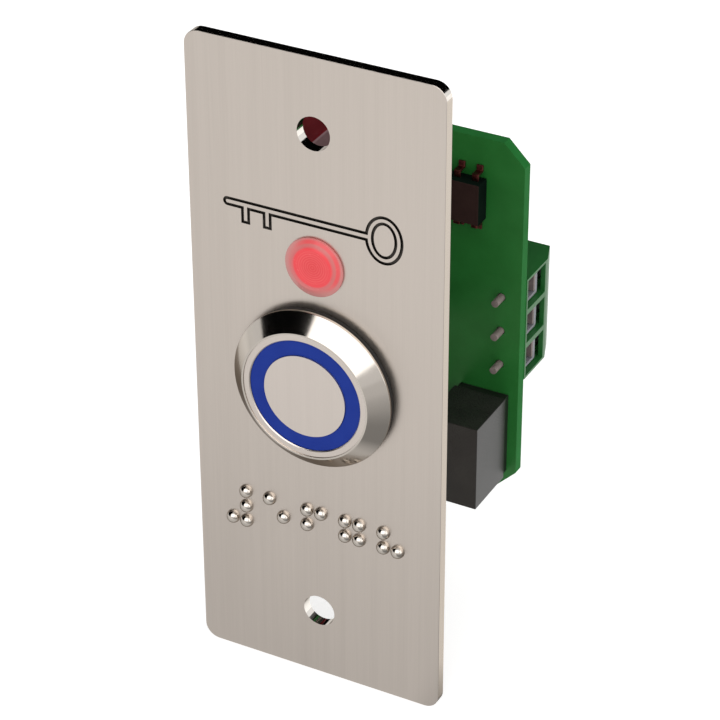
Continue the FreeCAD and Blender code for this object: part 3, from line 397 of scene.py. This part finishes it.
def add_piece(name, bm, materials, body=ROOT, nodes=(), sharp=38):
    """Finish a bmesh as a piece that rides on a body and stands for CAD nodes."""
    mesh = bpy.data.meshes.new(name)
    bm.to_mesh(mesh)
    bm.free()
    for material in materials:
        mesh.materials.append(material)
    mesh.shade_smooth()
    mesh.set_sharp_from_angle(angle=math.radians(sharp))
    piece = bpy.data.objects.new(name, mesh)
    bpy.context.scene.collection.objects.link(piece)
    weigh = piece.modifiers.new("even_normals", "WEIGHTED_NORMAL")
    weigh.keep_sharp = True
    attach(piece, body)
    if nodes:
        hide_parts(*nodes)
    return piece


def turned(profile, centre=(0.0, 0.0), steps=128, closed=False, into=None):
    """A profile of (radius, y) points spun about a line along Y."""
    bm = into or bmesh.new()
    points = [bm.verts.new((radius, y, 0.0)) for radius, y in profile]
    lines = [bm.edges.new(pair) for pair in zip(points, points[1:])]
    if closed:
        lines.append(bm.edges.new((points[-1], points[0])))
    before = set(bm.verts) - set(points)
    bmesh.ops.spin(bm, geom=points + lines, axis=(0, 1, 0), angle=math.tau, steps=steps, use_merge=True)
    bmesh.ops.remove_doubles(bm, verts=[v for v in bm.verts if v not in before], dist=1e-7)
    fresh = [v for v in bm.verts if v not in before]
    bmesh.ops.recalc_face_normals(bm, faces=bm.faces)
    bmesh.ops.translate(bm, verts=fresh, vec=(centre[0], 0.0, centre[1]))
    return bm


def wound(ridge, pitch, turns, steps=48, into=None):
    """A ridge of (radius, y) points that runs round the button's axis as a screw thread."""
    bm = into or bmesh.new()
    points = [bm.verts.new((radius, y, 0.0)) for radius, y in ridge]
    face = bm.faces.new(points)
    bmesh.ops.spin(bm, geom=[*points, *face.edges, face], axis=(0, 1, 0), dvec=(0, pitch / steps, 0),
                   angle=math.tau * turns, steps=turns * steps)
    bmesh.ops.recalc_face_normals(bm, faces=bm.faces)
    return bm


def soften(bm, width, segments=3, least=40, chosen=None):
    """Round the sharp edges, or the chosen ones among them."""
    edges = [
        edge for edge in bm.edges
        if len(edge.link_faces) == 2 and edge.calc_face_angle(0.0) > math.radians(least)
        and (chosen is None or chosen(edge))
    ]
    bmesh.ops.bevel(bm, geom=edges, offset=width, offset_type="OFFSET", segments=segments, profile=0.5,
                    affect="EDGES", clamp_overlap=True, material=-1)
    return bm


def copied(node):
    """A CAD node's mesh with its loose triangles merged and its flat faces joined up."""
    bm = bmesh.new()
    bm.from_mesh(frame["nodes"][node].data)
    bmesh.ops.remove_doubles(bm, verts=bm.verts, dist=1e-6)
    bmesh.ops.dissolve_limit(bm, angle_limit=math.radians(0.5), verts=bm.verts, edges=bm.edges)
    return bm


# ---------------------------------------------------------------- face plate


def make_plate():
    """Brushed on its faces, bright where it is cut, with a near-white painted highlight on the screw
    holes' walls and the corner sides, and dark painted shade in the engraved key.
    """
    bm = copied("faceplate")
    near, broken_edge, corner = 0.02 * MM, 0.04 * MM, 3.0 * MM
    groove_depth, key_reach, key_bottom, key_top = (size * MM for size in (0.27, 14, 15, 30))
    screw_ring, corner_start = 4.0 * MM, 15.0 * MM
    facing, slanted = 0.3, 0.1
    half_width, half_height = PLATE_HIGH.x, PLATE_HIGH.z

    def round_the_outside(edge):
        y = [vert.co.y for vert in edge.verts]
        at = (edge.verts[0].co + edge.verts[1].co) / 2
        on_face = max(y) - min(y) < near and min(abs(y[0] - PLATE_FRONT), abs(y[0] - PLATE_BACK)) < near
        at_side = abs(abs(at.x) - half_width) < near or abs(abs(at.z) - half_height) < near
        at_corner = abs(at.x) > half_width - corner and abs(at.z) > half_height - corner
        return on_face and (at_side or at_corner)

    soften(bm, broken_edge, 1, chosen=round_the_outside)
    # Index 2 is dark painted shade in the engraved key; index 3 is a near-white painted highlight on the
    # hole walls and corner sides.
    brushed_faces, cut_edges, engraving_shade, highlight_cuts = range(4)
    for face in bm.faces:
        at, normal = face.calc_center_median(), face.normal
        in_groove = PLATE_FRONT + near < at.y < PLATE_FRONT + groove_depth and abs(at.x) < key_reach
        in_hole = math.hypot(at.x, abs(at.z) - HOLE_HEIGHT) < screw_ring
        at_corner = min(abs(normal.x), abs(normal.z)) > slanted and abs(at.x) > corner_start
        if abs(normal.y) > facing and not in_groove:
            face.material_index = brushed_faces
        elif in_groove and key_bottom < at.z < key_top:
            face.material_index = engraving_shade
        else:
            face.material_index = highlight_cuts if in_hole or at_corner else cut_edges
    materials = [FINISHES["brushed_steel"], EDGE_STEEL, GROOVE_SHADE, HIGHLIGHT_STEEL]
    add_piece("face_plate", bm, materials, nodes=["faceplate"])


def make_dots():
    """A bright domed bead in each of its seats in the plate."""
    bm = bmesh.new()
    shank, steps = 0.5 * MM, 10
    for low, high in solids_of("braille_beads"):
        radius = (high.x - low.x) / 2
        angles = [math.pi / 2 * step / steps for step in range(steps)]
        profile = [(radius * math.sin(angle), PLATE_FRONT - radius * math.cos(angle)) for angle in angles]
        profile += [(radius, PLATE_FRONT), (shank, PLATE_FRONT), (shank, high.y), (0.0, high.y)]
        turned(profile, ((low.x + high.x) / 2, (low.z + high.z) / 2), 40, into=bm)
    add_piece("raised_dots", bm, [FINISHES["polished_steel"]], nodes=["braille_beads"])


# ---------------------------------------------------------------- push button

THREAD_DEPTH = 0.32 * MM
THREAD_PITCH = 1.0 * MM
BARREL = bore_of("button_gasket") - 0.1 * MM
STEM = radius_of("return_spring") - 1.1 * MM
WEB_FRONT = SPRING_HIGH.y + 0.02 * MM
WEB_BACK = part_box("retaining_ring")[0].y - 0.05 * MM


def make_bezel():
    """Bezel and barrel in one turned piece, with a thread on the barrel."""
    rim, flange, rear = BEZEL_LOW.y, GASKET_LOW.y, BEZEL_HIGH.y
    land, side, thread_start = 0.25 * MM, 0.35 * MM, 0.3 * MM
    bezel, bore, core = radius_of("button_housing"), CAP_RADIUS + 0.06 * MM, BARREL - THREAD_DEPTH
    step = CAP_LOW.y + 3.63 * MM
    chamber, tail_bore = BARREL - 1.9 * MM, BARREL - 1.3 * MM
    stem_bore = STEM + 0.05 * MM
    profile = [
        (bore, rim), (bore + land, rim), (bezel, flange - side), (bezel, flange),
        (BARREL, flange), (BARREL, PLATE_BACK), (core, PLATE_BACK + thread_start), (core, rear),
        (tail_bore, rear), (tail_bore, WEB_BACK), (stem_bore, WEB_BACK), (stem_bore, WEB_FRONT),
        (chamber, WEB_FRONT), (chamber, step), (bore, step),
    ]
    bm = turned(profile, steps=160, closed=True)

    def on_lip(edge):
        return all(vert.co.y < rim + 0.01 * MM for vert in edge.verts)

    soften(bm, 0.05 * MM, 2, least=20, chosen=lambda edge: not on_lip(edge))
    soften(bm, 0.012 * MM, 1, least=20, chosen=on_lip)
    outside, open_bore = range(2)
    for face in bm.faces:
        at = face.calc_center_median()
        in_bore = math.hypot(at.x, at.z) < bore + 0.02 * MM
        face.material_index = open_bore if in_bore and at.y < CAP_LOW.y else outside
    root, crest = core - 0.05 * MM, BARREL - 0.02 * MM
    flank, crest_end, ridge_wide = 0.4 * MM, 0.5 * MM, 0.9 * MM
    ridge = [(root, 0.0), (crest, flank), (crest, crest_end), (root, ridge_wide)]
    first = PLATE_BACK + 2 * thread_start
    turns = int((rear - first - THREAD_PITCH) / THREAD_PITCH)
    wound([(radius, first + y) for radius, y in ridge], THREAD_PITCH, turns, into=bm)
    materials = [FINISHES["polished_steel"], CAP_STEEL]
    add_piece("bezel_and_barrel", bm, materials, nodes=["button_housing"], sharp=30)


def make_gasket():
    outer, bore = radius_of("button_gasket"), bore_of("button_gasket")
    front, back = GASKET_LOW.y, GASKET_HIGH.y
    bm = turned([(bore, front), (outer, front), (outer, back), (bore, back)], closed=True)
    add_piece("rubber_gasket", soften(bm, 0.16 * MM, 3), [FINISHES["rubber"]], nodes=["button_gasket"])


def make_fixings():
    """A toothed lock washer, and a nut with its corners taken off."""
    outer, bore = radius_of("lock_washer"), bore_of("lock_washer")
    low, high = (corner.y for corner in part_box("lock_washer"))
    middle_y, thin, teeth, lean = (low + high) / 2, 0.2 * MM, 18, math.radians(9)
    base = outer - 0.75 * MM
    tooth_centre, tooth_long = (outer + base) / 2 - 0.08 * MM, outer - base + 0.1 * MM
    tooth_wide = 2.1 * MM
    bm = turned([(bore, middle_y - thin), (base, middle_y - thin), (base, middle_y + thin),
                 (bore, middle_y + thin)], steps=teeth * 6, closed=True)
    for tooth in range(teeth):
        made = bmesh.ops.create_cube(bm, size=1.0)["verts"]
        bmesh.ops.scale(bm, verts=made, vec=(tooth_long, 2 * thin, tooth_wide))
        bmesh.ops.rotate(bm, verts=made, matrix=Matrix.Rotation(lean, 3, "X"))
        bmesh.ops.translate(bm, verts=made, vec=(tooth_centre, middle_y, 0.0))
        bmesh.ops.rotate(bm, verts=made, matrix=Matrix.Rotation(math.tau * tooth / teeth, 3, "Y"))
    soften(bm, 0.04 * MM, 1)
    add_piece("toothed_washer", bm, [FINISHES["spring_steel"]], nodes=["lock_washer"])

    bm = copied("lock_nut")
    across = BARREL + 1.5 * MM

    def on_hexagon(edge):
        return all(math.hypot(vert.co.x, vert.co.z) > across - 0.2 * MM for vert in edge.verts)

    soften(bm, 0.35 * MM, 3, chosen=on_hexagon)
    add_piece("hexagon_nut", bm, [FINISHES["zinc"]], nodes=["lock_nut"])


def make_cap():
    """The cap that is pressed, on its stem, with a channel for the light ring."""
    front, back, end = CAP_LOW.y, CAP_LOW.y + 1.93 * MM, CAP_HIGH.y
    outer = radius_of("light_ring") + 0.02 * MM
    inner = outer - 2.06 * MM
    floor, bright_edge, rim = front + 1.2 * MM, 0.12 * MM, CAP_RADIUS + 0.055 * MM
    seal_root, clip_root = STEM - 0.59 * MM, STEM - 0.55 * MM
    seal, clip = ([corner.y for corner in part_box(node)] for node in ("stem_seal", "retaining_ring"))
    profile = [
        (0.0, front), (inner, front), (inner, floor), (outer, floor), (outer, front + bright_edge),
        (outer + bright_edge, front), (rim, front), (rim, back), (STEM, back),
        (STEM, seal[0]), (seal_root, seal[0]), (seal_root, seal[1]), (STEM, seal[1]),
        (STEM, clip[0]), (clip_root, clip[0]), (clip_root, clip[1]), (STEM, clip[1]),
        (STEM, end), (0.0, end),
    ]
    bm = turned(profile, steps=160)

    def on_rim(edge):
        return all(math.hypot(vert.co.x, vert.co.z) > rim - 0.01 * MM for vert in edge.verts)

    soften(bm, 0.03 * MM, 2, least=50, chosen=lambda edge: not on_rim(edge))
    soften(bm, 0.01 * MM, 1, least=50, chosen=on_rim)
    add_piece("push_cap", bm, [CAP_STEEL], BODY_OF["actuator_cap"], nodes=["actuator_cap"])


def make_light_ring():
    outer = radius_of("light_ring")
    inner = outer - 2.02 * MM
    front, floor, end = RING_LOW.y + 0.2 * MM, RING_LOW.y + 1.2 * MM, RING_HIGH.y
    bm = turned([(inner, front), (outer, front), (outer, floor), (inner, floor)], steps=160, closed=True)
    soften(bm, 0.04 * MM, 2)
    circle, legs, leg_radius, leg_start = (outer + inner) / 2, 4, 0.75 * MM, floor - 0.2 * MM
    for leg in range(legs):
        angle = math.tau * (leg + 0.5) / legs
        turned([(0.0, leg_start), (leg_radius, leg_start), (leg_radius, end), (0.0, end)],
               (circle * math.cos(angle), circle * math.sin(angle)), 32, into=bm)
    add_piece("light_ring_diffuser", bm, [FINISHES["blue_diffuser"]], BODY_OF["light_ring"],
              nodes=["light_ring"])


def make_spring():
    """A coil spring of four turns round the button's axis."""
    low, high, wire = SPRING_LOW.y, SPRING_HIGH.y, 0.3 * MM
    radius, turns, steps = radius_of("return_spring") - wire, 4, 56
    bm = bmesh.new()
    made = bmesh.ops.create_circle(bm, cap_ends=True, radius=wire * 0.98, segments=12)["verts"]
    bmesh.ops.translate(bm, verts=made, vec=(radius, low + wire, 0.0))
    rise = (high - low - 2 * wire) / (turns * steps)
    bmesh.ops.spin(bm, geom=bm.verts[:] + bm.edges[:] + bm.faces[:], axis=(0, 1, 0), dvec=(0, rise, 0),
                   angle=math.tau * turns, steps=turns * steps)
    bmesh.ops.recalc_face_normals(bm, faces=bm.faces)
    piece = add_piece("coil_spring", bm, [FINISHES["spring_steel"]], nodes=["return_spring"])
    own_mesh(piece)


# ---------------------------------------------------------------- indicator


def make_lens():
    """A moulded lens: a flat cone with fine rings pressed into its raised middle."""
    front, back, seat = LENS_LOW.y, LENS_HIGH.y, PLATE_FRONT
    disc, groove, pitch, rim = 2.75 * MM, 0.035 * MM, 0.24 * MM, 0.35 * MM
    shank, bore, roof = 3.1 * MM, 2.55 * MM, front + 1.5 * MM
    profile = [(0.0, front + groove)]
    rings = int(disc / pitch)
    for ring in range(1, rings + 1):
        profile.append((disc * (ring - 0.5) / rings, front))
        profile.append((disc * ring / rings, front + (groove if ring < rings else 0.0)))
    profile += [
        (LENS_RADIUS, seat - rim), (LENS_RADIUS, seat), (shank, seat), (shank, back),
        (bore, back), (bore, roof), (0.0, roof),
    ]
    bm = turned(profile, (LENS.x, LENS.z), steps=96)

    def off_the_rings(edge):
        return all(math.hypot(vert.co.x - LENS.x, vert.co.z - LENS.z) > disc - 0.01 * MM
                   for vert in edge.verts)

    soften(bm, 0.1 * MM, 3, least=25, chosen=off_the_rings)
    add_piece("red_indicator_lens", bm, [RED_LENS], nodes=["indicator_lens"], sharp=50)


# ---------------------------------------------------------------- circuit board


def make_board():
    """Masked faces, bare edges all round, and tinned holes."""
    near, strip, corner, cut, upper = (size * MM for size in (0.02, 0.3, 3.1, 3.2, 18))
    half = BOARD_HIGH.x

    def on_outline(edge):
        return all(
            abs(vert.co.x) > half - corner and not BOARD_LOW.z + corner < vert.co.z < upper
            or abs(vert.co.x) > half - near
            or not BOARD_LOW.z + near < vert.co.z < BOARD_HIGH.z - near
            for vert in edge.verts)

    bm = soften(copied("circuit_board"), 0.1 * MM, 2, chosen=on_outline)
    masked, bare_edge, tinned_hole = range(3)
    for face in bm.faces:
        at = face.calc_center_median()
        inside = abs(at.x) < half - strip and BOARD_LOW.z + strip < at.z < BOARD_HIGH.z - strip
        at_cut = abs(at.x) > half - cut and not BOARD_LOW.z + cut < at.z < BOARD_HIGH.z - cut
        if abs(face.normal.y) > 0.9:
            face.material_index = masked
        else:
            face.material_index = tinned_hole if inside and not at_cut else bare_edge
    materials = [FINISHES["board_green"], BOARD_EDGE, FINISHES["tinned_copper"]]
    add_piece("printed_board", bm, materials, nodes=["circuit_board"])


def make_solder():
    """A cone of solder round each lead behind the board."""
    bm = bmesh.new()
    for node in ("contact_pins", "lamp_pins", "indicator_leads", "capacitor_leads", "relay_pins"):
        for low, high in solids_of(node):
            lead = 0.6 * MM if node == "contact_pins" else min(high.x - low.x, high.z - low.z) / 2
            foot, sunk, tall = lead + 0.55 * MM, -0.02 * MM, 0.62 * MM
            slope = [(0.0, sunk), (foot, sunk), (foot, 0.04 * MM), (lead + 0.28 * MM, 0.16 * MM),
                     (lead + 0.1 * MM, 0.38 * MM), (lead + 0.02 * MM, tall), (0.0, tall)]
            turned([(radius, BOARD_BACK + y) for radius, y in slope],
                   ((low.x + high.x) / 2, (low.z + high.z) / 2), 24, into=bm)
    add_piece("solder_joints", bm, [SOLDER], sharp=60)


def make_tracks():
    """Copper runs, given by their bends in mm, that show through the mask behind the board."""
    contacts = solids_of("terminal_contacts")
    lowest, middle_pin, highest = ((low.z + high.z) / 2 / MM for low, high in contacts)
    routes = [
        [(12.3, lowest), (4.5, lowest), (0.0, -3.4)],
        [(12.3, middle_pin), (5.4, middle_pin), (2.4, 0.0)],
        [(12.3, highest), (6.0, highest), (0.0, 3.4)],
        [(7.7, -13.9), (4.9, -11.1), (-8.2, -11.1), (-8.2, -4.0)],
        [(12.8, -13.9), (12.8, -11.6)],
        [(-12.7, -16.8), (-12.7, -4.0), (-10.0, -1.0)],
        [(-12.25, 12.1), (-12.25, 2.0), (-10.0, 2.0)],
        [(-2.4, 0.0), (-5.2, 2.8), (-5.2, 20.6), (-12.25, 22.1)],
        [(1.3, 16.95), (1.3, 20.2), (6.4, 22.0)],
        [(-1.9, -19.5), (-1.9, -13.5), (7.7, -13.5)],
        [(5.2, -22.0), (7.4, -24.0)],
    ]
    bm = bmesh.new()
    wide, thin, thick = 0.9 * MM, 0.028 * MM, 0.035 * MM
    for route in routes:
        for bend, (start, end) in enumerate(zip(route, route[1:])):
            proud = thick if bend % 2 else thin
            run = Vector((end[0] - start[0], 0.0, end[1] - start[1])) * MM
            made = bmesh.ops.create_cube(bm, size=1.0)["verts"]
            bmesh.ops.scale(bm, verts=made, vec=(run.length + wide, 2 * proud, wide))
            bmesh.ops.rotate(bm, verts=made, matrix=Matrix.Rotation(-math.atan2(run.z, run.x), 3, "Y"))
            centre = Vector((start[0], 0.0, start[1])) * MM + run / 2
            bmesh.ops.translate(bm, verts=made, vec=(centre.x, BOARD_BACK, centre.z))
    soften(bm, 0.02 * MM, 1)
    add_piece("masked_tracks", bm, [BOARD_TRACK])


def make_chip_resistors():
    """Ceramic chips with a tinned cap on each end."""
    bm = soften(copied("chip_resistors"), 0.06 * MM, 2)
    low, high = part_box("chip_resistors")
    tinned = 0.4 * MM
    for side, end in ((1, low.x + tinned), (-1, high.x - tinned)):
        bmesh.ops.bisect_plane(bm, geom=bm.verts[:] + bm.edges[:] + bm.faces[:], plane_co=(end, 0, 0),
                               plane_no=(side, 0, 0))
    ceramic, end_cap = range(2)
    for face in bm.faces:
        x = face.calc_center_median().x
        face.material_index = end_cap if min(x - low.x, high.x - x) < tinned else ceramic
    add_piece("chip_resistor_row", bm, [FINISHES["ceramic_chip"], FINISHES["tinned_copper"]],
              nodes=["chip_resistors"])


def make_diode():
    """A moulded diode, with its tabs folded under its ends."""
    low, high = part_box("diode")
    centre = (low + high) / 2
    bm = bmesh.new()

    def block(x0, x1, y0, y1, z0, z1, finish):
        made = bmesh.ops.create_cube(bm, size=1.0)["verts"]
        bmesh.ops.scale(bm, verts=made, vec=(x1 - x0, y1 - y0, z1 - z0))
        bmesh.ops.translate(bm, verts=made, vec=((x0 + x1) / 2, (y0 + y1) / 2, (z0 + z1) / 2))
        for face in {face for vert in made for face in vert.link_faces}:
            face.material_index = finish

    plastic, tinned = range(2)
    tab, inset, half, under = 0.22 * MM, 0.25 * MM, 0.75 * MM, 1.0 * MM
    block(low.x + inset, high.x - inset, low.y + tab, high.y, low.z, high.z, plastic)
    for start, end in ((low.x, low.x + under), (high.x - under, high.x)):
        block(start, end, low.y, low.y + tab, centre.z - half, centre.z + half, tinned)
    for start, end in ((low.x, low.x + tab), (high.x - tab, high.x)):
        block(start, end, low.y + tab / 2, centre.y, centre.z - half, centre.z + half, tinned)
    soften(bm, 0.1 * MM, 2)
    materials = [FINISHES["black_plastic"], FINISHES["tinned_copper"]]
    add_piece("flyback_diode", bm, materials, nodes=["diode"])


def make_can():
    """An electrolytic capacitor: sleeved can with a rolled edge and a scored end, its scores coloured
    dark as painted shade.
    """
    low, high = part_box("electrolytic_capacitor")
    centre, radius = (low + high) / 2, (high.x - low.x) / 2
    front, back = low.y, high.y
    recess, well, rim = front + 0.25 * MM, radius - 1.0 * MM, radius - 0.8 * MM
    roll, roll_deep = radius - 0.35 * MM, front + 0.4 * MM
    crimp_start, crimp, crimp_end = back - 2.0 * MM, back - 1.6 * MM, back - 1.2 * MM
    crimped, cut = radius - 0.35 * MM, 0.3 * MM
    score_long, score_thin, score_wide = 6.4 * MM, 0.04 * MM, 0.3 * MM
    profile = [
        (0.0, recess), (well, recess), (rim, front), (roll, front), (radius, roll_deep),
        (radius, crimp_start), (crimped, crimp), (radius, crimp_end), (radius, back - cut),
        (radius - cut, back), (0.0, back),
    ]
    bm = soften(turned(profile, (centre.x, centre.z), 96), 0.1 * MM, 2, least=25)
    # The scores are coloured dark as painted shade in their grooves.
    sleeve, bare_end, score_shade = range(3)
    for face in bm.faces:
        at = face.calc_center_median()
        in_well = math.hypot(at.x - centre.x, at.z - centre.z) < (well + rim) / 2
        face.material_index = bare_end if in_well and at.y < front + 2 * (recess - front) else sleeve
    for turn in (30, -30):
        made = bmesh.ops.create_cube(bm, size=1.0)["verts"]
        bmesh.ops.scale(bm, verts=made, vec=(score_long, score_thin, score_wide))
        bmesh.ops.rotate(bm, verts=made, matrix=Matrix.Rotation(math.radians(turn), 3, "Y"))
        bmesh.ops.translate(bm, verts=made, vec=(centre.x, recess, centre.z))
        for face in {face for vert in made for face in vert.link_faces}:
            face.material_index = score_shade
    materials = [FINISHES["can_sleeve"], FINISHES["steel"], GROOVE_SHADE]
    add_piece("electrolytic_can", bm, materials, nodes=["electrolytic_capacitor"])


FACING_SHARE = 0.7


def eased(name, node, width, finish=None, side=None, top=False):
    """A CAD node's own shape with its edges broken, and perhaps a second finish on +X, and on +Z, that
    paints light or shade on that side.
    """
    bm = soften(copied(node), width * MM, 2)
    if side:
        for face in bm.faces:
            painted_side_face = face.normal.x > FACING_SHARE or (top and face.normal.z > FACING_SHARE)
            face.material_index = 1 if painted_side_face else 0
    materials = [finish or FINISHES[SLOT_OF[node]]] + ([side] if side else [])
    return add_piece(name, bm, materials, BODY_OF[node], nodes=[node])


make_plate()
make_dots()
make_bezel()
make_gasket()
make_fixings()
make_cap()
make_light_ring()
make_spring()
make_lens()
make_board()
make_solder()
make_tracks()
make_chip_resistors()
make_diode()
make_can()

# The film capacitor's faces turned to +X carry a painted sheen.
eased("film_capacitor_case", "film_capacitor", 0.05, side=CAPACITOR_SIDE_SHEEN)
eased("timing_capacitor_case", "timing_capacitor", 0.15)
# The chip's front is a painted lit copy of its black plastic; its +X side and top are a painted shaded
# copy.
eased("chip_body", "optocoupler", 0.1, CHIP_LIT_FRONT, CHIP_SHADED_SIDE, top=True)
# The chip's leads carry a painted red reflection.
eased("chip_leads", "optocoupler_leads", 0.05, LEAD_RED_REFLECTION)
eased("red_lamp", "indicator_lamp", 0.05)
eased("relay_cover", "relay_case", 0.1)
eased("relay_foot", "relay_base", 0.06)
eased("switch_block", "contact_block", 0.15)
eased("terminal_block_body", "terminal_housing", 0.08)
eased("terminal_pins", "terminal_contacts", 0.06, PIN_TIN)
for way in "123":
    eased(f"clamp_cage_{way}", f"terminal_cage_{way}", 0.05, CAGE_ZINC)
    eased(f"clamp_screw_{way}", f"terminal_screw_{way}", 0.08)


# ---------------------------------------------------------------- remaining CAD nodes


for node, thing in frame["nodes"].items():
    thing.data.materials.clear()
    thing.data.materials.append(FINISHES[SLOT_OF[node]])


# ---------------------------------------------------------------- studio

FLOOR_REACH = 0.25
# How bright the floor looks in metal, by the distance in front of the plate's foot in mm.
FLOOR_TONES = [(0, 0.6), (9, 0.64), (25, 0.69), (70, 0.86), (140, 0.98), (200, 1.0)]
# The same from the plate's left to its right: the floor to the right is shaded.
SIDE_TONES = [(-100, 0.84), (-50, 0.97), (0, 1.05), (13, 1.07), (25, 0.42), (45, 0.4), (75, 0.54),
              (180, 0.66)]
SIDE_START, SIDE_REACH = -0.1, 0.3
BEHIND_TONE, BEHIND_REACH = 1.1, 8 * MM


def looking(tree, *rays):
    """1 where one of these kinds of ray looks, and 0 elsewhere."""
    path = tree.nodes.new("ShaderNodeLightPath")
    looks = path.outputs[f"Is {rays[0]} Ray"]
    for ray in rays[1:]:
        either = tree.nodes.new("ShaderNodeMath")
        either.operation = "MAXIMUM"
        tree.links.new(looks, either.inputs[0])
        tree.links.new(path.outputs[f"Is {ray} Ray"], either.inputs[1])
        looks = either.outputs[0]
    return looks


def mixed(tree, share, first, second):
    """Two shaders, mixed by a share that is a socket or a number."""
    mix = tree.nodes.new("ShaderNodeMixShader")
    if isinstance(share, float):
        mix.inputs[0].default_value = share
    else:
        tree.links.new(share, mix.inputs[0])
    tree.links.new(first, mix.inputs[1])
    tree.links.new(second, mix.inputs[2])
    return mix.outputs[0]


def make_world(ambient):
    """White to look at, pale in reflections, and a softer fill on the object."""
    world = bpy.data.worlds.new("studio")
    bpy.context.scene.world = world
    world.use_nodes = True
    tree = world.node_tree
    tree.nodes.clear()

    def sky(strength, green=1.0, blue=1.0):
        made = tree.nodes.new("ShaderNodeBackground")
        made.inputs["Color"].default_value = (1.0, green, blue, 1.0)
        made.inputs["Strength"].default_value = strength
        return made.outputs[0]

    seen = mixed(tree, looking(tree, "Glossy", "Transmission"), sky(ambient, 0.9948, 0.988), sky(0.8))
    seen = mixed(tree, looking(tree, "Camera"), seen, sky(1.0))
    output = tree.nodes.new("ShaderNodeOutputWorld")
    tree.links.new(seen, output.inputs["Surface"])


def make_floor():
    """A pale floor, white to look at, whose reflection in metal dims towards the plate's foot."""
    bm = bmesh.new()
    bmesh.ops.create_grid(bm, x_segments=1, y_segments=1, size=3.0)
    bmesh.ops.translate(bm, verts=bm.verts, vec=(0.0, 0.0, CAD_BOX[0].z - 0.1 * MM))
    mesh = bpy.data.meshes.new("floor")
    bm.to_mesh(mesh)
    bm.free()
    floor = bpy.data.objects.new("floor", mesh)
    bpy.context.scene.collection.objects.link(floor)
    finish = Finish("pale_floor", (236, 236, 236), 0.8)
    tree = finish.material.node_tree

    def glowing(strength):
        glow = finish.node("ShaderNodeEmission", {"Strength": strength})
        both = finish.node("ShaderNodeAddShader", {0: finish.shader.outputs[0], 1: glow.outputs[0]})
        return both.outputs[0]

    squeezed = finish.node("ShaderNodeMapping", {
        "Vector": finish.place, "Location": (0.0, -PLATE_FRONT, 0.0), "Scale": (0.35, 1.0, 0.0)})
    away = finish.node("ShaderNodeVectorMath", {0: squeezed.outputs[0]}, operation="LENGTH")
    tone = finish.ramp(away.outputs["Value"], FLOOR_TONES, 0.0, FLOOR_REACH)
    spot = finish.node("ShaderNodeSeparateXYZ", {0: finish.place}).outputs
    beside = finish.ramp(spot["X"], SIDE_TONES, SIDE_START, SIDE_REACH)
    ahead = finish.maths(tone, beside, "MULTIPLY")
    behind = finish.between(spot["Y"], 0.0, 1.0, 0.0, BEHIND_REACH)
    strength = finish.node("ShaderNodeMix", {0: behind, 2: ahead, 3: BEHIND_TONE},
                           data_type="FLOAT").outputs[0]
    reflected = finish.node("ShaderNodeEmission", {"Color": (1.0, 0.995, 0.985, 1.0),
                                                   "Strength": strength})

    bounced = mixed(tree, 0.5, glowing(0.31), reflected.outputs[0])
    seen = mixed(tree, looking(tree, "Glossy", "Transmission"), bounced, reflected.outputs[0])
    seen = mixed(tree, looking(tree, "Camera"), seen, glowing(0.5))
    tree.links.new(seen, tree.nodes["Material Output"].inputs["Surface"])
    mesh.materials.append(finish.material)


def softbox(name, azimuth, elevation, distance, width, height, radiance):
    """An area light that faces the object from a direction given in degrees."""
    a, e = math.radians(azimuth), math.radians(elevation)
    away = Vector((math.sin(a) * math.cos(e), -math.cos(a) * math.cos(e), math.sin(e)))
    light = bpy.data.lights.new(name, "AREA")
    light.shape = "RECTANGLE"
    light.size, light.size_y = width, height
    light.energy = radiance * math.pi * width * height
    holder = bpy.data.objects.new(name, light)
    turn = (-away).to_track_quat("-Z", "Y").to_matrix().to_4x4()
    holder.matrix_world = Matrix.Translation(away * distance) @ turn
    bpy.context.scene.collection.objects.link(holder)


def dark_card():
    """A black screen to the left and behind, above the horizon, that only reflections see."""
    foot, open_from, open_to = 7.5, -27, 146
    bm = bmesh.new()
    bmesh.ops.create_uvsphere(bm, u_segments=180, v_segments=90, radius=2.5)

    def left_open(face):
        away = face.calc_center_median().normalized()
        elevation = math.degrees(math.asin(away.z))
        azimuth = math.degrees(math.atan2(away.x, -away.y))
        return elevation <= foot or open_from < azimuth < open_to

    bmesh.ops.delete(bm, geom=[face for face in bm.faces if left_open(face)], context="FACES")
    mesh = bpy.data.meshes.new("dark_card")
    bm.to_mesh(mesh)
    bm.free()
    card = bpy.data.objects.new("dark_card", mesh)
    bpy.context.scene.collection.objects.link(card)
    mesh.materials.append(Finish("black_cloth", (4, 4, 4), 1.0, Specular_IOR_Level=0.0).material)
    for ray in ("camera", "diffuse", "shadow", "transmission", "volume_scatter"):
        setattr(card, f"visible_{ray}", False)


make_world(0.61)
make_floor()
softbox("front_softbox", azimuth=15, elevation=36, distance=1.1, width=1.3, height=1.0, radiance=1.36)
softbox("side_softbox", azimuth=88, elevation=18, distance=1.1, width=1.1, height=1.1, radiance=1.0)
dark_card()

bpy.context.scene.view_settings.view_transform = "Standard"
